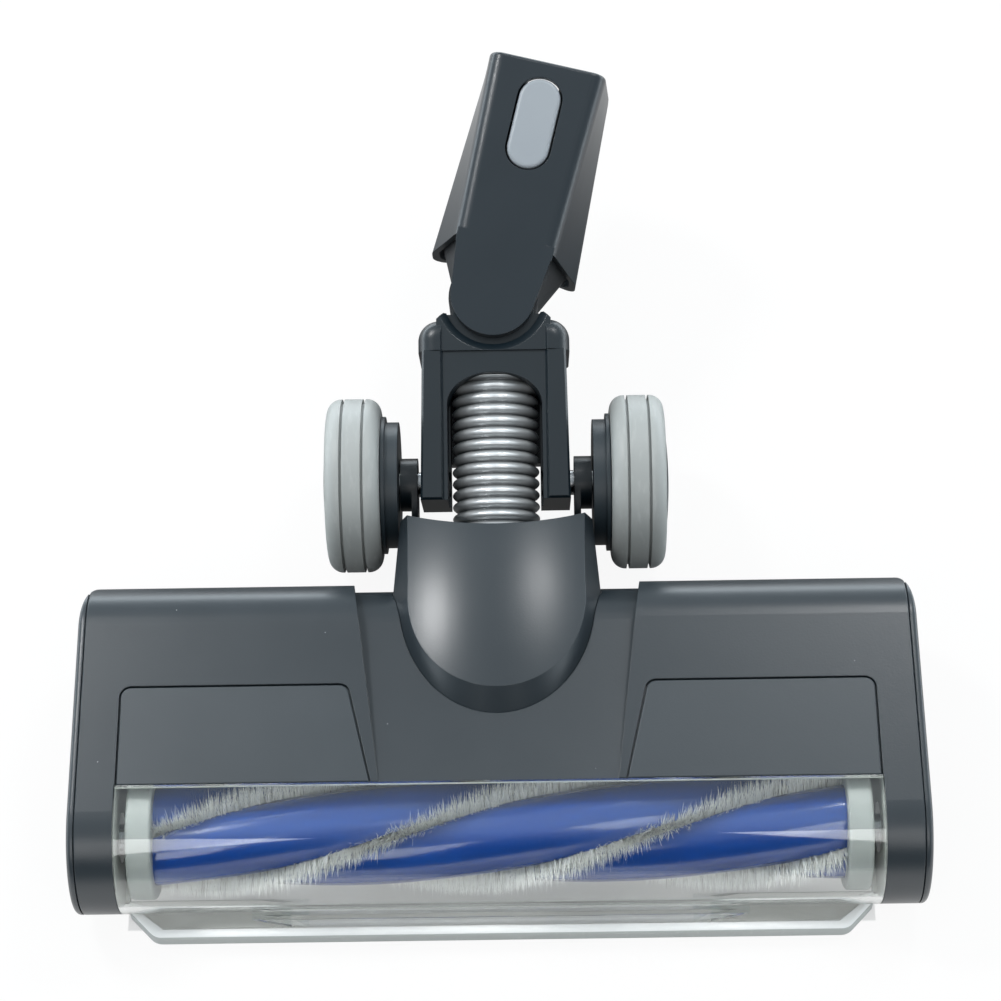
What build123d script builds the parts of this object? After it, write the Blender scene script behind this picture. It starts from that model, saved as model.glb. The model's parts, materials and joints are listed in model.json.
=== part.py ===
from build123d import *

import os
from math import asin, cos, degrees, radians, sin

os.makedirs("parts", exist_ok=True)

# Powered floor brush head of a cordless vacuum cleaner, in millimetres.
# X runs across the head, +Y to the back, +Z up, and the floor is Z = 0.

# Clearances
fit_gap = 0.2          # between mouldings fixed to one another
run_gap = 0.4          # between pieces that move past one another
pin_gap = 0.05         # radial, pin in its hole

# Brush roller
brush_radius = 19.6    # bristle tips
floor_gap = 0.4        # bristle tips to floor
lobe_radius = 10.2
lobe_offset = 5.0
twist = 322.0          # turn of the lobes from end to end
strip_width = 2.2
strip_root = 8.5
strip_phase = 108.0    # angle of the first strip at the left end, from +Y towards +Z
hub_radius = 18.6
hub_width = 7.5
hub_clear = 3.2        # hub to the chamber's end wall
journal_radius = 4.0
bearing_radius = 7.5
brush_z = brush_radius + floor_gap

# Head
head_width = 253.6
cap_thickness = 2.1
cap_edge = 1.6
cheek = 13.8           # outside of the head to the window's end
brush_clear = 1.3
window_wall = 1.9
window_top = 7.0       # top edge of the window behind the brush axis
head_back = 77.8       # back face behind the brush axis
back_radius = 18.0
corner_across = 7.5    # the back corners are quarter ellipses
corner_along = 21.0
top_slope = 2.5
valley_slope = -2.0
valley_front = 35.0
valley_back = 44.5
shell_wall = 2.2
sole_z = 2.6
cover_z = 6.5          # parting plane between base and cover
chamber_wall = 2.3
seam = 0.5             # bevel along the end cap seam
window_inner = brush_radius + brush_clear
nose_radius = window_inner + window_wall
sill_z = cover_z       # the window's ledge rests on the sill bar
room_wall = 2.8
cover_half = head_width / 2 - cap_thickness
window_half = head_width / 2 - cheek
chamber_half = window_half + fit_gap
room_half = chamber_half - room_wall
core_length = 2 * (chamber_half - hub_clear - hub_width)

# Sill and bumper in front of the brush
sill_reach = 24.6
sill_slant = 10.2      # how far the sill's ends slope in towards the front
sill_inset = 1.4       # back corner of the sill to the window's end
sill_root = 16.5       # back edge of the sill bar, in front of the brush axis
ledge = 1.8
channel_top = 74.0
channel_low = 59.5
channel_z = 14.5
channel_wall = 1.8
bumper_width = 2.6
bumper_low = 1.6
bumper_high = 7.0
bumper_root = 19.0     # back ends of the bumper, in front of the brush axis
bumper_corner = 5.0
bumper_round = 1.6
sill_back = window_half - sill_inset
sill_front = sill_back - sill_slant

# Inset panels
panel_back = 38.5
panel_inner_front = 37.5
panel_inner_back = 44.6
panel_depth = 1.4
panel_corner = 3.5
groove = 0.5
panel_outer = window_half

# Hood over the hose inlet
hood_back = 67.0       # widest place behind the brush axis
hood_half = 32.3
hood_nose = 43.2
hood_tail = 29.8
hood_end = 100.0
hood_shoulder = 36.0
hood_crown = 50.0
hood_skirt = 34.5      # lower edge of the hood where it dips into the cover
crown_radius = 78.0    # across the hood
crown_bow = 210.0      # along the hood
bevel_side = 9.2       # the bevel round the dome draws in by these over its rise
bevel_nose = 16.0
bevel_tail = 5.6
bevel_rise = 16.0
hood_wall = 2.0
rim_back = 89.8
rim_radius = 61.0

# Wheels and pivot
axle_back = 115.6
wheel_radius = 27.5
wheel_x = 44.6
tyre_width = 17.0
tyre_shoulder = 4.5
tyre_groove = 1.4
groove_place = 3.3
drum_radius = 20.0
drum_flange = 21.8
drum_inner = 30.6
axle_radius = 4.0
axle_inner = 15.0
axle_head = 6.5
axle_head_width = 1.2
rim_r = 19.6
tyre_slot = 0.9
flange_width = 1.2
cap_sink = 2.0
cap_dome = 1.4
cap_room = 8.0
cap_skin = 1.2
boss_radius = 8.4
bracket_inner = 24.7
bracket_plate = 2.0
foot_front = 80.0
foot_back = 91.5
foot_height = 2.4
foot_inner = 17.5
axle_outer = wheel_x + tyre_width / 2 - cap_sink + fit_gap + axle_head_width

# Neck
neck_pitch = 20.5
neck_half = 23.4
neck_half_top = 22.6
neck_start = -7.4
neck_top = 39.8
neck_front = 18.0
plate_front = 16.5
neck_parting = -10.0
neck_back = -17.0
slot_half = 14.9
arch_spring = 23.0
arch_rise = 10.0
arm_bevel = 1.1
arm_edge = 0.7
knuckle_half = 23.8
knuckle_height = 10.2
knuckle_front = 18.3
knuckle_corner = 6.5
knuckle_round = 5.5
saddle_half = 16.2     # lower middle of the knuckle's front, between its columns
saddle_front = 17.2
horn_half = 18.0
horn_rise = 2.2
pivot_s = 58.0
drum_r = 14.2
drum_half = 10.6
ear_radius = 12.8
ear_thickness = 2.0
tongue_radius = 13.4
swing_pin = 3.0
seat_radius = 15.9
seat_flare = 48.0
seat_level = 15.0
back_round = 6.0
back_cover_start = 8.0
neck_screw_bite = 6.0
neck_screw_edge = 3.8
neck_screw_low = 14.0
neck_screw_high = 35.0

# Hose along the neck axis
hose_crest = 13.8
hose_valley = 11.5
hose_bore = 10.8
hose_pitch = 3.73
hose_low = -22.0
hose_cuff = 5.0
hose_high = 38.0
rib_flank = 0.25
rib_root = 0.6
spigot_low = -24.0
spigot_high = -16.0
duct_half = 27.0
duct_low = 8.6
duct_high = 29.0
duct_wall = 1.6
duct_corner = 6.0

# Socket, swung on the neck
swing = 14.0
socket_length = 77.4
skirt_low = 13.5
mouth_half = 20.4
mouth_front = 18.8
skirt_half = 23.8
skirt_front = 15.4
socket_front = 17.0
socket_back = -26.4
socket_widest = -6.0   # height at which the socket is widest
front_corner = 4.6
side_bend = 9.0
back_corner = 14.0
socket_wall = 2.2
tongue_thickness = 3.6
tongue_top = 16.5
core_low = 17.0
core_high = 70.0
bore_radius = 16.2
bore_offset = -6.2
bore_floor = 30.0
contact_floor = 24.0
airway_radius = 8.4
contact_x = 11.5
contact_h = -10.0
contact_radius = 1.5
contact_root = 4.0
contact_height = 4.0
contact_step = 0.8
fan_half = 11.0
flare_front = 12.5
flare_round = 1.6
flare_start = 2.5
flare_gap = 0.3
mouth_round = 1.2

# Release button
button_length = 29.6
button_width = 13.4
button_place = 56.6
button_gap = 0.6
button_low = 12.0
button_high = 17.4
button_room = 1.2      # below the button, for its rocking
rocker_radius = 0.9
rocker_h = 13.4
hook_place = 11.0
hook_width = 5.0
hook_length = 2.0
hook_tip = 10.1
button_round = 1.2
rocker_half = 10.5

# Drive
motor_back = 46.0
motor_z = 24.0
motor_radius = 12.0
motor_length = 57.0
motor_clear = 8.2      # motor to the chamber's end wall
belt_clear = 1.0
belt_width = 5.0
belt_thickness = 1.5
pulley_radius = 9.0
pinion_radius = 4.6
belt_gap = 0.3
motor_shaft_radius = 1.6
saddle_width = 3.0
saddle_base = 2.2
motor_outer = chamber_half - motor_clear
motor_inner = motor_outer - motor_length
belt_inner = chamber_half + chamber_wall + belt_clear

# Sole
mouth_margin = 2.0     # beside the roller's hubs
mouth_back = 21.0
lint_margin = 12.0
lint_front = 22.6
lint_width = 3.6
lint_depth = 1.2
roller_x = 62.0
roller_back = 66.0
roller_radius = 4.5
roller_width = 16.0
roller_pin = 1.2
roller_lift = 0.3      # sole rollers clear the floor by this
screw_head = 3.0
screw_head_height = 1.6
screw_shank = 1.3
screw_sink = 1.9
screw_bite = 8.0       # how far a base screw reaches into the cover
screw_front = 32.0     # front base screws behind the brush axis
screw_edge = 8.5       # rear base screws from the cover's end
screw_rear = 10.8      # rear base screws from the head's back

# Places that follow from the sizes above
lean = radians(neck_pitch)
turn = radians(swing)
reach = pivot_s + socket_length * cos(turn) + mouth_half * sin(turn)
back_extent = axle_back + reach * cos(lean) - socket_back * sin(lean)
front_extent = sill_reach + bumper_width
brush_y = (front_extent - back_extent) / 2
axle_y = brush_y + axle_back
axle_z = wheel_radius

mouth_half_width = core_length / 2 + hub_width + mouth_margin
lint_half = mouth_half_width - lint_margin
flare_top = skirt_half - socket_wall - fit_gap - flare_gap
flare_share = (socket_front - drum_half) / (socket_front - socket_widest)
flare_top_front = skirt_front + (flare_top - skirt_front) * flare_share - socket_wall
tongue_flare = skirt_front + (mouth_front - skirt_front) * (tongue_top - skirt_low) / (socket_length - skirt_low)
motor_y = brush_y + motor_back
roller_z = roller_radius + roller_lift
channel_radius = hose_crest + run_gap
ear_low = drum_half + fit_gap
neck_screw_places = [
    (sign * (neck_half_top - neck_screw_edge), place)
    for sign in (-1, 1)
    for place in (neck_screw_low, neck_screw_high)
]
screw_places = [
    (sign * x, brush_y + back)
    for sign in (-1, 1)
    for x, back in (
        (chamber_half + (chamber_wall - room_wall) / 2, screw_front),
        (cover_half - screw_edge, head_back - screw_rear),
    )
]
bracket_screw_places = [
    (sign * (foot_inner + screw_head + 0.6), brush_y + (foot_front + foot_back) / 2)
    for sign in (-1, 1)
]
top_rise = radians(top_slope)
top_plane = Plane(
    origin=(0, brush_y - nose_radius * sin(top_rise), brush_z + nose_radius * cos(top_rise)),
    x_dir=(1, 0, 0),
    z_dir=(0, -sin(top_rise), cos(top_rise)),
)

across = Vector(1, 0, 0)
along = Vector(0, cos(lean), sin(lean))
outward = Vector(0, -sin(lean), cos(lean))
neck_frame = Plane(origin=(0, axle_y, axle_z), x_dir=across, z_dir=outward)
socket_frame = Plane(
    origin=neck_frame.from_local_coords((0, pivot_s, 0)),
    x_dir=across * cos(turn) - along * sin(turn),
    z_dir=outward,
)


def front_plane(frame, height):
    """Plane facing out of the neck's or socket's front, at a height over its axis."""
    return frame.offset(height)


def cross_plane(frame, place):
    """Plane across the neck's or socket's axis, at a place along it."""
    origin = frame.from_local_coords((0, place, 0))
    return Plane(origin=origin, x_dir=-frame.x_dir, z_dir=frame.y_dir)


def side_plane(frame, place):
    """Plane along the neck's or socket's axis and normal, at a place across it."""
    origin = frame.from_local_coords((place, 0, 0))
    return Plane(origin=origin, x_dir=frame.y_dir, z_dir=frame.x_dir)


def slope_y(back):
    """Distance up the sloped top of a place given by its distance behind the brush axis."""
    return back / cos(top_rise) + nose_radius * sin(top_rise)


def head_section(x, inset=0.0, slope=top_slope, low=sole_z):
    """Side section of the head: round nose, sloped top and rolled-off back."""
    nose = nose_radius - inset
    bend = back_radius - inset
    back = brush_y + head_back - inset
    rise = radians(slope)
    top_y = brush_y - nose * sin(rise)
    top_z = brush_z + nose * cos(rise)
    bend_y = back - bend
    run = (bend_y - bend * sin(rise) - top_y) / cos(rise)
    bend_z = top_z + run * sin(rise) - bend * cos(rise)
    dip = asin((brush_z - low) / nose)
    with BuildSketch(Plane.YZ.offset(x)) as section:
        with BuildLine():
            CenterArc((brush_y, brush_z), nose, 90 + slope, 90 + degrees(dip) - slope)
            Line((top_y, top_z), (bend_y - bend * sin(rise), bend_z + bend * cos(rise)))
            CenterArc((bend_y, bend_z), bend, 0, 90 + slope)
            Polyline((back, bend_z), (back, low), (brush_y - nose * cos(dip), low))
        make_face()
    return section.sketch


def plan_rectangle(z, half, front, back):
    """Rectangle in plan, given by its half width and its reach from the brush axis."""
    with BuildSketch(Plane.XY.offset(z)) as plan:
        with Locations((0, brush_y + (front + back) / 2)):
            Rectangle(2 * half, back - front)
    return plan.sketch


def plan_trapezoid(z, front_half, back_half, front, back):
    """Symmetrical trapezoid in plan, between two distances from the brush axis."""
    with BuildSketch(Plane.XY.offset(z)) as plan:
        with BuildLine():
            Polyline(
                (-front_half, brush_y + front),
                (front_half, brush_y + front),
                (back_half, brush_y + back),
                (-back_half, brush_y + back),
                close=True,
            )
        make_face()
    return plan.sketch


def corner_waste():
    """What is cut away outside the rounded back corners of the head."""
    with BuildSketch() as waste:
        for sign in (-1, 1):
            x = sign * (head_width / 2 - corner_across)
            with Locations((x, brush_y + head_back - corner_along)):
                edge = Align.MIN if sign > 0 else Align.MAX
                Rectangle(corner_across + 1, corner_along + 1, align=(edge, Align.MIN))
                Ellipse(corner_across, corner_along, mode=Mode.SUBTRACT)
    return waste.sketch


def hood_outline(z, side=0.0, nose=0.0, tail=0.0):
    """Plan of the hood, drawn in from its sides, its nose and its tail."""
    half = hood_half - side
    tail = hood_tail - tail
    middle = brush_y + hood_back
    half_turn = 180
    with BuildSketch(Plane.XY.offset(z)) as outline:
        with BuildLine():
            EllipticalCenterArc((0, middle), half, hood_nose - nose, half_turn, arc_size=half_turn)
            Polyline(
                (half, middle),
                (tail, brush_y + hood_end),
                (-tail, brush_y + hood_end),
                (-half, middle),
            )
        make_face()
    return outline.sketch


def panel_outline(sign, inset):
    """Plan of an inset panel on the sloped top; it runs out at the window's edge."""
    front = window_top + fit_gap - (0 if inset else 1)
    slant = (panel_inner_back - panel_inner_front) / (panel_back - window_top)
    with BuildSketch(top_plane) as outline:
        with BuildLine():
            Polyline(
                (sign * (panel_inner_front + slant * (front - window_top) + inset), slope_y(front)),
                (sign * (panel_outer - inset), slope_y(front)),
                (sign * (panel_outer - inset), slope_y(panel_back - inset)),
                (sign * (panel_inner_back + inset), slope_y(panel_back - inset)),
                close=True,
            )
        make_face()
        fillet(outline.vertices().group_by(Axis.Y)[-1], radius=panel_corner - inset)
    return outline.sketch


# Shared rooms cut from the cover

with BuildPart() as valley_waste:
    extrude(
        plan_trapezoid(brush_z, valley_front, valley_back, window_top - 3, head_back + 3),
        amount=2 * nose_radius,
    )
    extrude(
        head_section(-head_width / 2, slope=valley_slope, low=cover_z),
        amount=head_width,
        mode=Mode.SUBTRACT,
    )

with BuildPart() as rear_room:
    extrude(
        head_section(-room_half, inset=shell_wall, slope=valley_slope, low=cover_z),
        amount=2 * room_half,
    )
    extrude(
        plan_rectangle(0, room_half, window_inner + shell_wall, head_back),
        amount=2 * nose_radius + cover_z,
        mode=Mode.INTERSECT,
    )

with BuildPart() as cheek_rooms:
    for start in (chamber_half + chamber_wall, -cover_half):
        extrude(
            head_section(start, inset=shell_wall, low=cover_z),
            amount=cover_half - chamber_half - chamber_wall,
        )
    extrude(
        plan_rectangle(0, head_width / 2, -nose_radius, head_back - corner_along - shell_wall),
        amount=2 * nose_radius + cover_z,
        mode=Mode.INTERSECT,
    )

with BuildPart() as hood_seat:
    extrude(
        hood_outline(cover_z, -fit_gap, -fit_gap, -fit_gap),
        amount=hood_shoulder - cover_z,
    )
    loft(
        [
            hood_outline(hood_shoulder, -fit_gap, -fit_gap, -fit_gap),
            hood_outline(
                hood_shoulder + bevel_rise,
                bevel_side - fit_gap,
                bevel_nose - fit_gap,
                bevel_tail - fit_gap,
            ),
        ]
    )

# Head: top cover

with BuildPart() as top_cover:
    extrude(head_section(-cover_half, low=cover_z), amount=2 * cover_half)
    end_faces = top_cover.faces().filter_by(Axis.X)
    chamfer(end_faces.edges().filter_by(GeomType.CIRCLE), length=seam)
    extrude(corner_waste(), amount=2 * nose_radius + cover_z, mode=Mode.SUBTRACT)
    add(valley_waste.part, mode=Mode.SUBTRACT)
    extrude(
        plan_rectangle(0, chamber_half, -2 * nose_radius, window_top + fit_gap),
        amount=3 * nose_radius,
        mode=Mode.SUBTRACT,
    )
    with BuildSketch(Plane.YZ.offset(-chamber_half)) as chamber:
        with Locations((brush_y, brush_z)):
            Circle(window_inner)
            Rectangle(2 * window_inner, brush_z, align=(Align.CENTER, Align.MAX))
    extrude(amount=2 * chamber_half, mode=Mode.SUBTRACT)
    add(rear_room.part, mode=Mode.SUBTRACT)
    add(cheek_rooms.part, mode=Mode.SUBTRACT)
    add(hood_seat.part, mode=Mode.SUBTRACT)
    for sign in (-1, 1):
        extrude(panel_outline(sign, 0.0), amount=-panel_depth, mode=Mode.SUBTRACT)
    with BuildSketch(Plane.YZ.offset(-cover_half)) as bores:
        with Locations((brush_y, brush_z)):
            Circle(bearing_radius + pin_gap)
        with Locations((motor_y, motor_z)):
            Circle(pinion_radius + run_gap)
    extrude(amount=cover_half, mode=Mode.SUBTRACT)
    with BuildSketch(Plane.YZ.offset(chamber_half)) as right_bore:
        with Locations((brush_y, brush_z)):
            Circle(bearing_radius + pin_gap)
    extrude(amount=chamber_wall, mode=Mode.SUBTRACT)
    with BuildSketch(Plane.XZ.offset(-brush_y)) as duct_port:
        with Locations((0, (duct_low + duct_high) / 2)):
            RectangleRounded(2 * duct_half, duct_high - duct_low, duct_corner)
    extrude(amount=-head_back / 2, mode=Mode.SUBTRACT)
    with BuildSketch(Plane.XY.offset(cover_z)) as cover_screw_bores:
        with Locations(*screw_places):
            Circle(screw_shank + pin_gap)
    extrude(amount=screw_bite + fit_gap, mode=Mode.SUBTRACT)

# Head: end caps, panels, hood

end_caps = {}
for side, sign in (("left", -1), ("right", 1)):
    with BuildPart() as end_cap:
        start = cover_half if sign > 0 else -head_width / 2
        extrude(head_section(start, low=cover_z), amount=cap_thickness)
        outer = end_cap.faces().sort_by(Axis.X)[-1 if sign > 0 else 0]
        fillet(outer.edges().filter_by(GeomType.CIRCLE), radius=cap_edge)
        extrude(corner_waste(), amount=3 * nose_radius, mode=Mode.SUBTRACT)
    end_caps[side] = end_cap

panels = {}
for side, sign in (("left", -1), ("right", 1)):
    with BuildPart() as panel:
        extrude(panel_outline(sign, groove), amount=-panel_depth)
        rim = panel.faces().sort_by(Axis.Z)[-1].edges()
        chamfer(rim, length=groove / 2)
    panels[side] = panel

crown_y = brush_y + hood_back
crown_axis = Axis((0, crown_y, hood_crown - crown_radius), (0, 1, 0))


def crown_profile(inset):
    """Half section along the hood's top, which turns about the crown's axis to a shallow dome."""
    with BuildSketch(Plane.YZ) as profile:
        with Locations((crown_y, hood_crown - crown_bow)):
            Circle(crown_bow - inset)
        with Locations((crown_y, hood_crown - crown_radius)):
            Rectangle(2 * hood_end, crown_radius, align=(Align.CENTER, Align.MIN), mode=Mode.INTERSECT)
    return profile.sketch


with BuildPart() as crown:
    revolve(crown_profile(0.0), axis=crown_axis)

with BuildPart() as hood_room:
    extrude(hood_outline(0, hood_wall, hood_wall, hood_wall), amount=hood_shoulder)
    loft(
        [
            hood_outline(hood_shoulder, hood_wall, hood_wall, hood_wall),
            hood_outline(
                hood_shoulder + bevel_rise,
                hood_wall + bevel_side,
                hood_wall + bevel_nose,
                hood_wall + bevel_tail,
            ),
        ]
    )
    revolve(crown_profile(hood_wall), axis=crown_axis, mode=Mode.INTERSECT)

with BuildPart() as neck_hood:
    extrude(hood_outline(cover_z), amount=hood_shoulder - cover_z)
    loft(
        [
            hood_outline(hood_shoulder),
            hood_outline(hood_shoulder + bevel_rise, bevel_side, bevel_nose, bevel_tail),
        ]
    )
    add(crown.part, mode=Mode.INTERSECT)
    add(hood_room.part, mode=Mode.SUBTRACT)
    extrude(
        plan_rectangle(0, hood_half + 1, hood_back - hood_nose - 1, head_back),
        amount=hood_skirt,
        mode=Mode.SUBTRACT,
    )
    with BuildSketch(Plane.XY) as rim_sweep:
        with Locations((0, brush_y + rim_back + rim_radius)):
            Circle(rim_radius)
    extrude(amount=2 * hood_crown, mode=Mode.SUBTRACT)

# Head: base plate and sole

with BuildPart() as base_plate:
    extrude(head_section(-cover_half, low=sole_z), amount=2 * cover_half)
    with BuildSketch(Plane.XY.offset(cover_z)) as above_parting:
        Rectangle(2 * head_width, 4 * head_back)
    extrude(amount=3 * nose_radius, mode=Mode.SUBTRACT)
    extrude(corner_waste(), amount=3 * nose_radius, mode=Mode.SUBTRACT)
    extrude(
        plan_trapezoid(sole_z, hood_half, hood_tail, head_back - back_radius, rim_back),
        amount=cover_z - sole_z,
    )
    extrude(
        plan_rectangle(0, mouth_half_width, -nose_radius, mouth_back),
        amount=2 * cover_z,
        mode=Mode.SUBTRACT,
    )
    extrude(
        plan_rectangle(sole_z, lint_half + fit_gap, lint_front - fit_gap,
                       lint_front + lint_width + fit_gap),
        amount=lint_depth,
        mode=Mode.SUBTRACT,
    )
    with BuildSketch(Plane.XY.offset(sole_z)) as roller_pockets:
        with Locations((-roller_x, brush_y + roller_back), (roller_x, brush_y + roller_back)):
            Rectangle(roller_width + 2 * run_gap, 2 * (roller_radius + run_gap))
    extrude(amount=cover_z, mode=Mode.SUBTRACT)
    with BuildSketch(Plane.YZ.offset(-roller_x - roller_width)) as pin_bore:
        with Locations((brush_y + roller_back, roller_z)):
            Circle(roller_pin + pin_gap)
    extrude(amount=2 * (roller_x + roller_width), mode=Mode.SUBTRACT)
    with BuildSketch(Plane.XY.offset(sole_z)) as screw_bores:
        with Locations(*screw_places):
            Circle(screw_head + fit_gap)
    extrude(amount=screw_sink, mode=Mode.SUBTRACT)
    with BuildSketch(Plane.XY.offset(sole_z)) as shank_bores:
        with Locations(*screw_places):
            Circle(screw_shank + pin_gap)
    extrude(amount=cover_z, mode=Mode.SUBTRACT)
    with BuildSketch(Plane.XY.offset(cover_z)) as bracket_screw_bores:
        with Locations(*bracket_screw_places):
            Circle(screw_shank + pin_gap)
    extrude(amount=sole_z + screw_shank - cover_z, mode=Mode.SUBTRACT)

with BuildPart() as base_screws:
    with BuildSketch(Plane.XY.offset(sole_z + screw_sink - screw_head_height)) as screw_heads:
        with Locations(*screw_places):
            Circle(screw_head)
    extrude(amount=screw_head_height)
    with BuildSketch(Plane.XY.offset(sole_z + screw_sink)) as screw_shanks:
        with Locations(*screw_places):
            Circle(screw_shank)
    extrude(amount=cover_z + screw_bite - sole_z - screw_sink)

with BuildPart() as lint_strip:
    extrude(
        plan_rectangle(0, lint_half, lint_front, lint_front + lint_width),
        amount=sole_z + lint_depth,
    )

# Head: clear window with its sill ledge and raised centre channel

with BuildPart() as brush_window:
    extrude(head_section(-window_half, low=cover_z), amount=2 * window_half)
    extrude(
        plan_trapezoid(sill_z, sill_front, sill_back, -sill_reach, -sill_root),
        amount=ledge,
    )
    with BuildSketch(Plane.XZ.offset(sill_reach - brush_y)) as channel_front:
        with BuildLine():
            Polyline(
                (-channel_low, sill_z),
                (channel_low, sill_z),
                (channel_top, channel_z),
                (-channel_top, channel_z),
                close=True,
            )
        make_face()
    extrude(amount=-sill_reach)
    extrude(
        plan_rectangle(0, window_half, window_top, head_back * 2),
        amount=3 * nose_radius,
        mode=Mode.SUBTRACT,
    )
    with BuildSketch(Plane.XZ.offset(sill_reach - channel_wall - brush_y)) as channel_room:
        with BuildLine():
            Polyline(
                (-channel_low + channel_wall, 0),
                (-channel_low + channel_wall, sill_z),
                (-channel_top + channel_wall, channel_z - channel_wall),
                (channel_top - channel_wall, channel_z - channel_wall),
                (channel_low - channel_wall, sill_z),
                (channel_low - channel_wall, 0),
                close=True,
            )
        make_face()
    extrude(amount=-sill_reach, mode=Mode.SUBTRACT)
    extrude(
        head_section(-head_width / 2, inset=window_wall, low=sole_z),
        amount=head_width,
        mode=Mode.SUBTRACT,
    )

with BuildPart() as front_bumper:
    extrude(
        plan_trapezoid(
            bumper_low,
            sill_front + bumper_width,
            sill_back + bumper_width,
            -sill_reach - bumper_width,
            -sill_root,
        ),
        amount=bumper_high - bumper_low,
    )
    uprights = front_bumper.edges().filter_by(Axis.Z)
    fillet(uprights.group_by(Axis.Y)[0], radius=bumper_corner)
    top_edges = front_bumper.faces().sort_by(Axis.Z)[-1].edges()
    fillet(top_edges.sort_by(Axis.Y)[:-1], radius=bumper_round)
    extrude(
        plan_trapezoid(sill_z, sill_front, sill_back, -sill_reach, -sill_root),
        amount=bumper_high,
        mode=Mode.SUBTRACT,
    )
    extrude(
        plan_rectangle(0, channel_low - channel_wall, channel_wall - sill_reach, 0),
        amount=2 * bumper_high,
        mode=Mode.SUBTRACT,
    )
    extrude(
        plan_trapezoid(
            0,
            channel_low - channel_wall,
            channel_top - channel_wall,
            channel_wall - sill_reach,
            -sill_root,
        ),
        amount=2 * bumper_high,
        mode=Mode.SUBTRACT,
    )
    with BuildSketch() as root_cuts:
        for sign in (-1, 1):
            with Locations((sign * (sill_back + bumper_width), brush_y - bumper_root / 2)):
                Rectangle(2 * bumper_width, bumper_root)
    extrude(amount=2 * bumper_high, mode=Mode.SUBTRACT)

# Brush roller: three twisted lobes with a bristle strip in each groove

with BuildSketch(Plane.YZ.offset(-core_length / 2)) as lobe_section:
    with Locations((brush_y, brush_z)):
        with PolarLocations(lobe_offset, 3, start_angle=strip_phase + 60):
            Circle(lobe_radius)
        Circle(journal_radius, mode=Mode.SUBTRACT)
        with PolarLocations(strip_root - pin_gap, 3, start_angle=strip_phase):
            Rectangle(
                brush_radius,
                strip_width + 2 * pin_gap,
                align=(Align.MIN, Align.CENTER),
                mode=Mode.SUBTRACT,
            )

with BuildSketch(Plane.YZ.offset(-core_length / 2)) as strip_section:
    with Locations((brush_y, brush_z)):
        with PolarLocations(strip_root, 3, start_angle=strip_phase):
            Rectangle(
                brush_radius - strip_root,
                strip_width,
                align=(Align.MIN, Align.CENTER),
            )

left_end = Vector(-core_length / 2, brush_y, brush_z)
roller_run = Vector(core_length, 0, 0)

with BuildPart() as roller_core:
    for face in lobe_section.sketch.faces():
        add(Solid.extrude_linear_with_rotation(face, left_end, roller_run, -twist))

with BuildPart() as bristle_strips:
    for face in strip_section.sketch.faces():
        add(Solid.extrude_linear_with_rotation(face, left_end, roller_run, -twist))

roller_hubs = {}
bearings = {}
for side, sign in (("left", -1), ("right", 1)):
    hub_start = min(sign * core_length / 2, sign * (core_length / 2 + hub_width))
    with BuildPart() as roller_hub:
        with BuildSketch(Plane.YZ.offset(hub_start)) as hub_disc:
            with Locations((brush_y, brush_z)):
                Circle(hub_radius)
                Circle(journal_radius, mode=Mode.SUBTRACT)
        extrude(amount=hub_width)
        fillet(roller_hub.edges().filter_by(GeomType.CIRCLE).group_by(SortBy.RADIUS)[-1], radius=1.0)
    roller_hubs[side] = roller_hub
    wall_start = min(sign * chamber_half, sign * (chamber_half + chamber_wall))
    with BuildPart() as bearing:
        with BuildSketch(Plane.YZ.offset(wall_start)) as race:
            with Locations((brush_y, brush_z)):
                Circle(bearing_radius)
                Circle(journal_radius, mode=Mode.SUBTRACT)
        extrude(amount=chamber_wall)
    bearings[side] = bearing

with BuildPart() as roller_shaft:
    shaft_left = -(belt_inner + belt_width)
    with BuildSketch(Plane.YZ.offset(shaft_left)) as shaft_round:
        with Locations((brush_y, brush_z)):
            Circle(journal_radius - pin_gap)
    extrude(amount=chamber_half + chamber_wall + 1 - shaft_left)

# Drive: motor behind the brush, belt in the left cheek

with BuildPart() as driven_pulley:
    with BuildSketch(Plane.YZ.offset(-belt_inner - belt_width)) as pulley_round:
        with Locations((brush_y, brush_z)):
            Circle(pulley_radius)
            Circle(journal_radius, mode=Mode.SUBTRACT)
    extrude(amount=belt_width)

with BuildPart() as motor_pulley:
    with BuildSketch(Plane.YZ.offset(-belt_inner - belt_width)) as pinion_round:
        with Locations((motor_y, motor_z)):
            Circle(pinion_radius)
            Circle(motor_shaft_radius, mode=Mode.SUBTRACT)
    extrude(amount=belt_width)

with BuildPart() as motor_shaft:
    with BuildSketch(Plane.YZ.offset(-belt_inner - belt_width)) as rod:
        with Locations((motor_y, motor_z)):
            Circle(motor_shaft_radius - pin_gap)
    extrude(amount=belt_inner + belt_width - motor_outer + 5)

with BuildPart() as drive_belt:
    for growth, mode in ((belt_gap + belt_thickness, Mode.ADD), (belt_gap, Mode.SUBTRACT)):
        with BuildSketch(Plane.YZ.offset(-belt_inner - belt_width)) as loop:
            with Locations((brush_y, brush_z)):
                Circle(pulley_radius + growth)
            with Locations((motor_y, motor_z)):
                Circle(pinion_radius + growth)
            make_hull()
        extrude(amount=belt_width, mode=mode)

with BuildPart() as brush_motor:
    with BuildSketch(Plane.YZ.offset(-motor_outer)) as can:
        with Locations((motor_y, motor_z)):
            Circle(motor_radius)
    extrude(amount=motor_outer - motor_inner)
    fillet(brush_motor.edges().filter_by(GeomType.CIRCLE), radius=1.2)
    with BuildSketch(Plane.YZ.offset(-motor_outer)) as shaft_bore:
        with Locations((motor_y, motor_z)):
            Circle(motor_shaft_radius)
    extrude(amount=6, mode=Mode.SUBTRACT)

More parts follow.
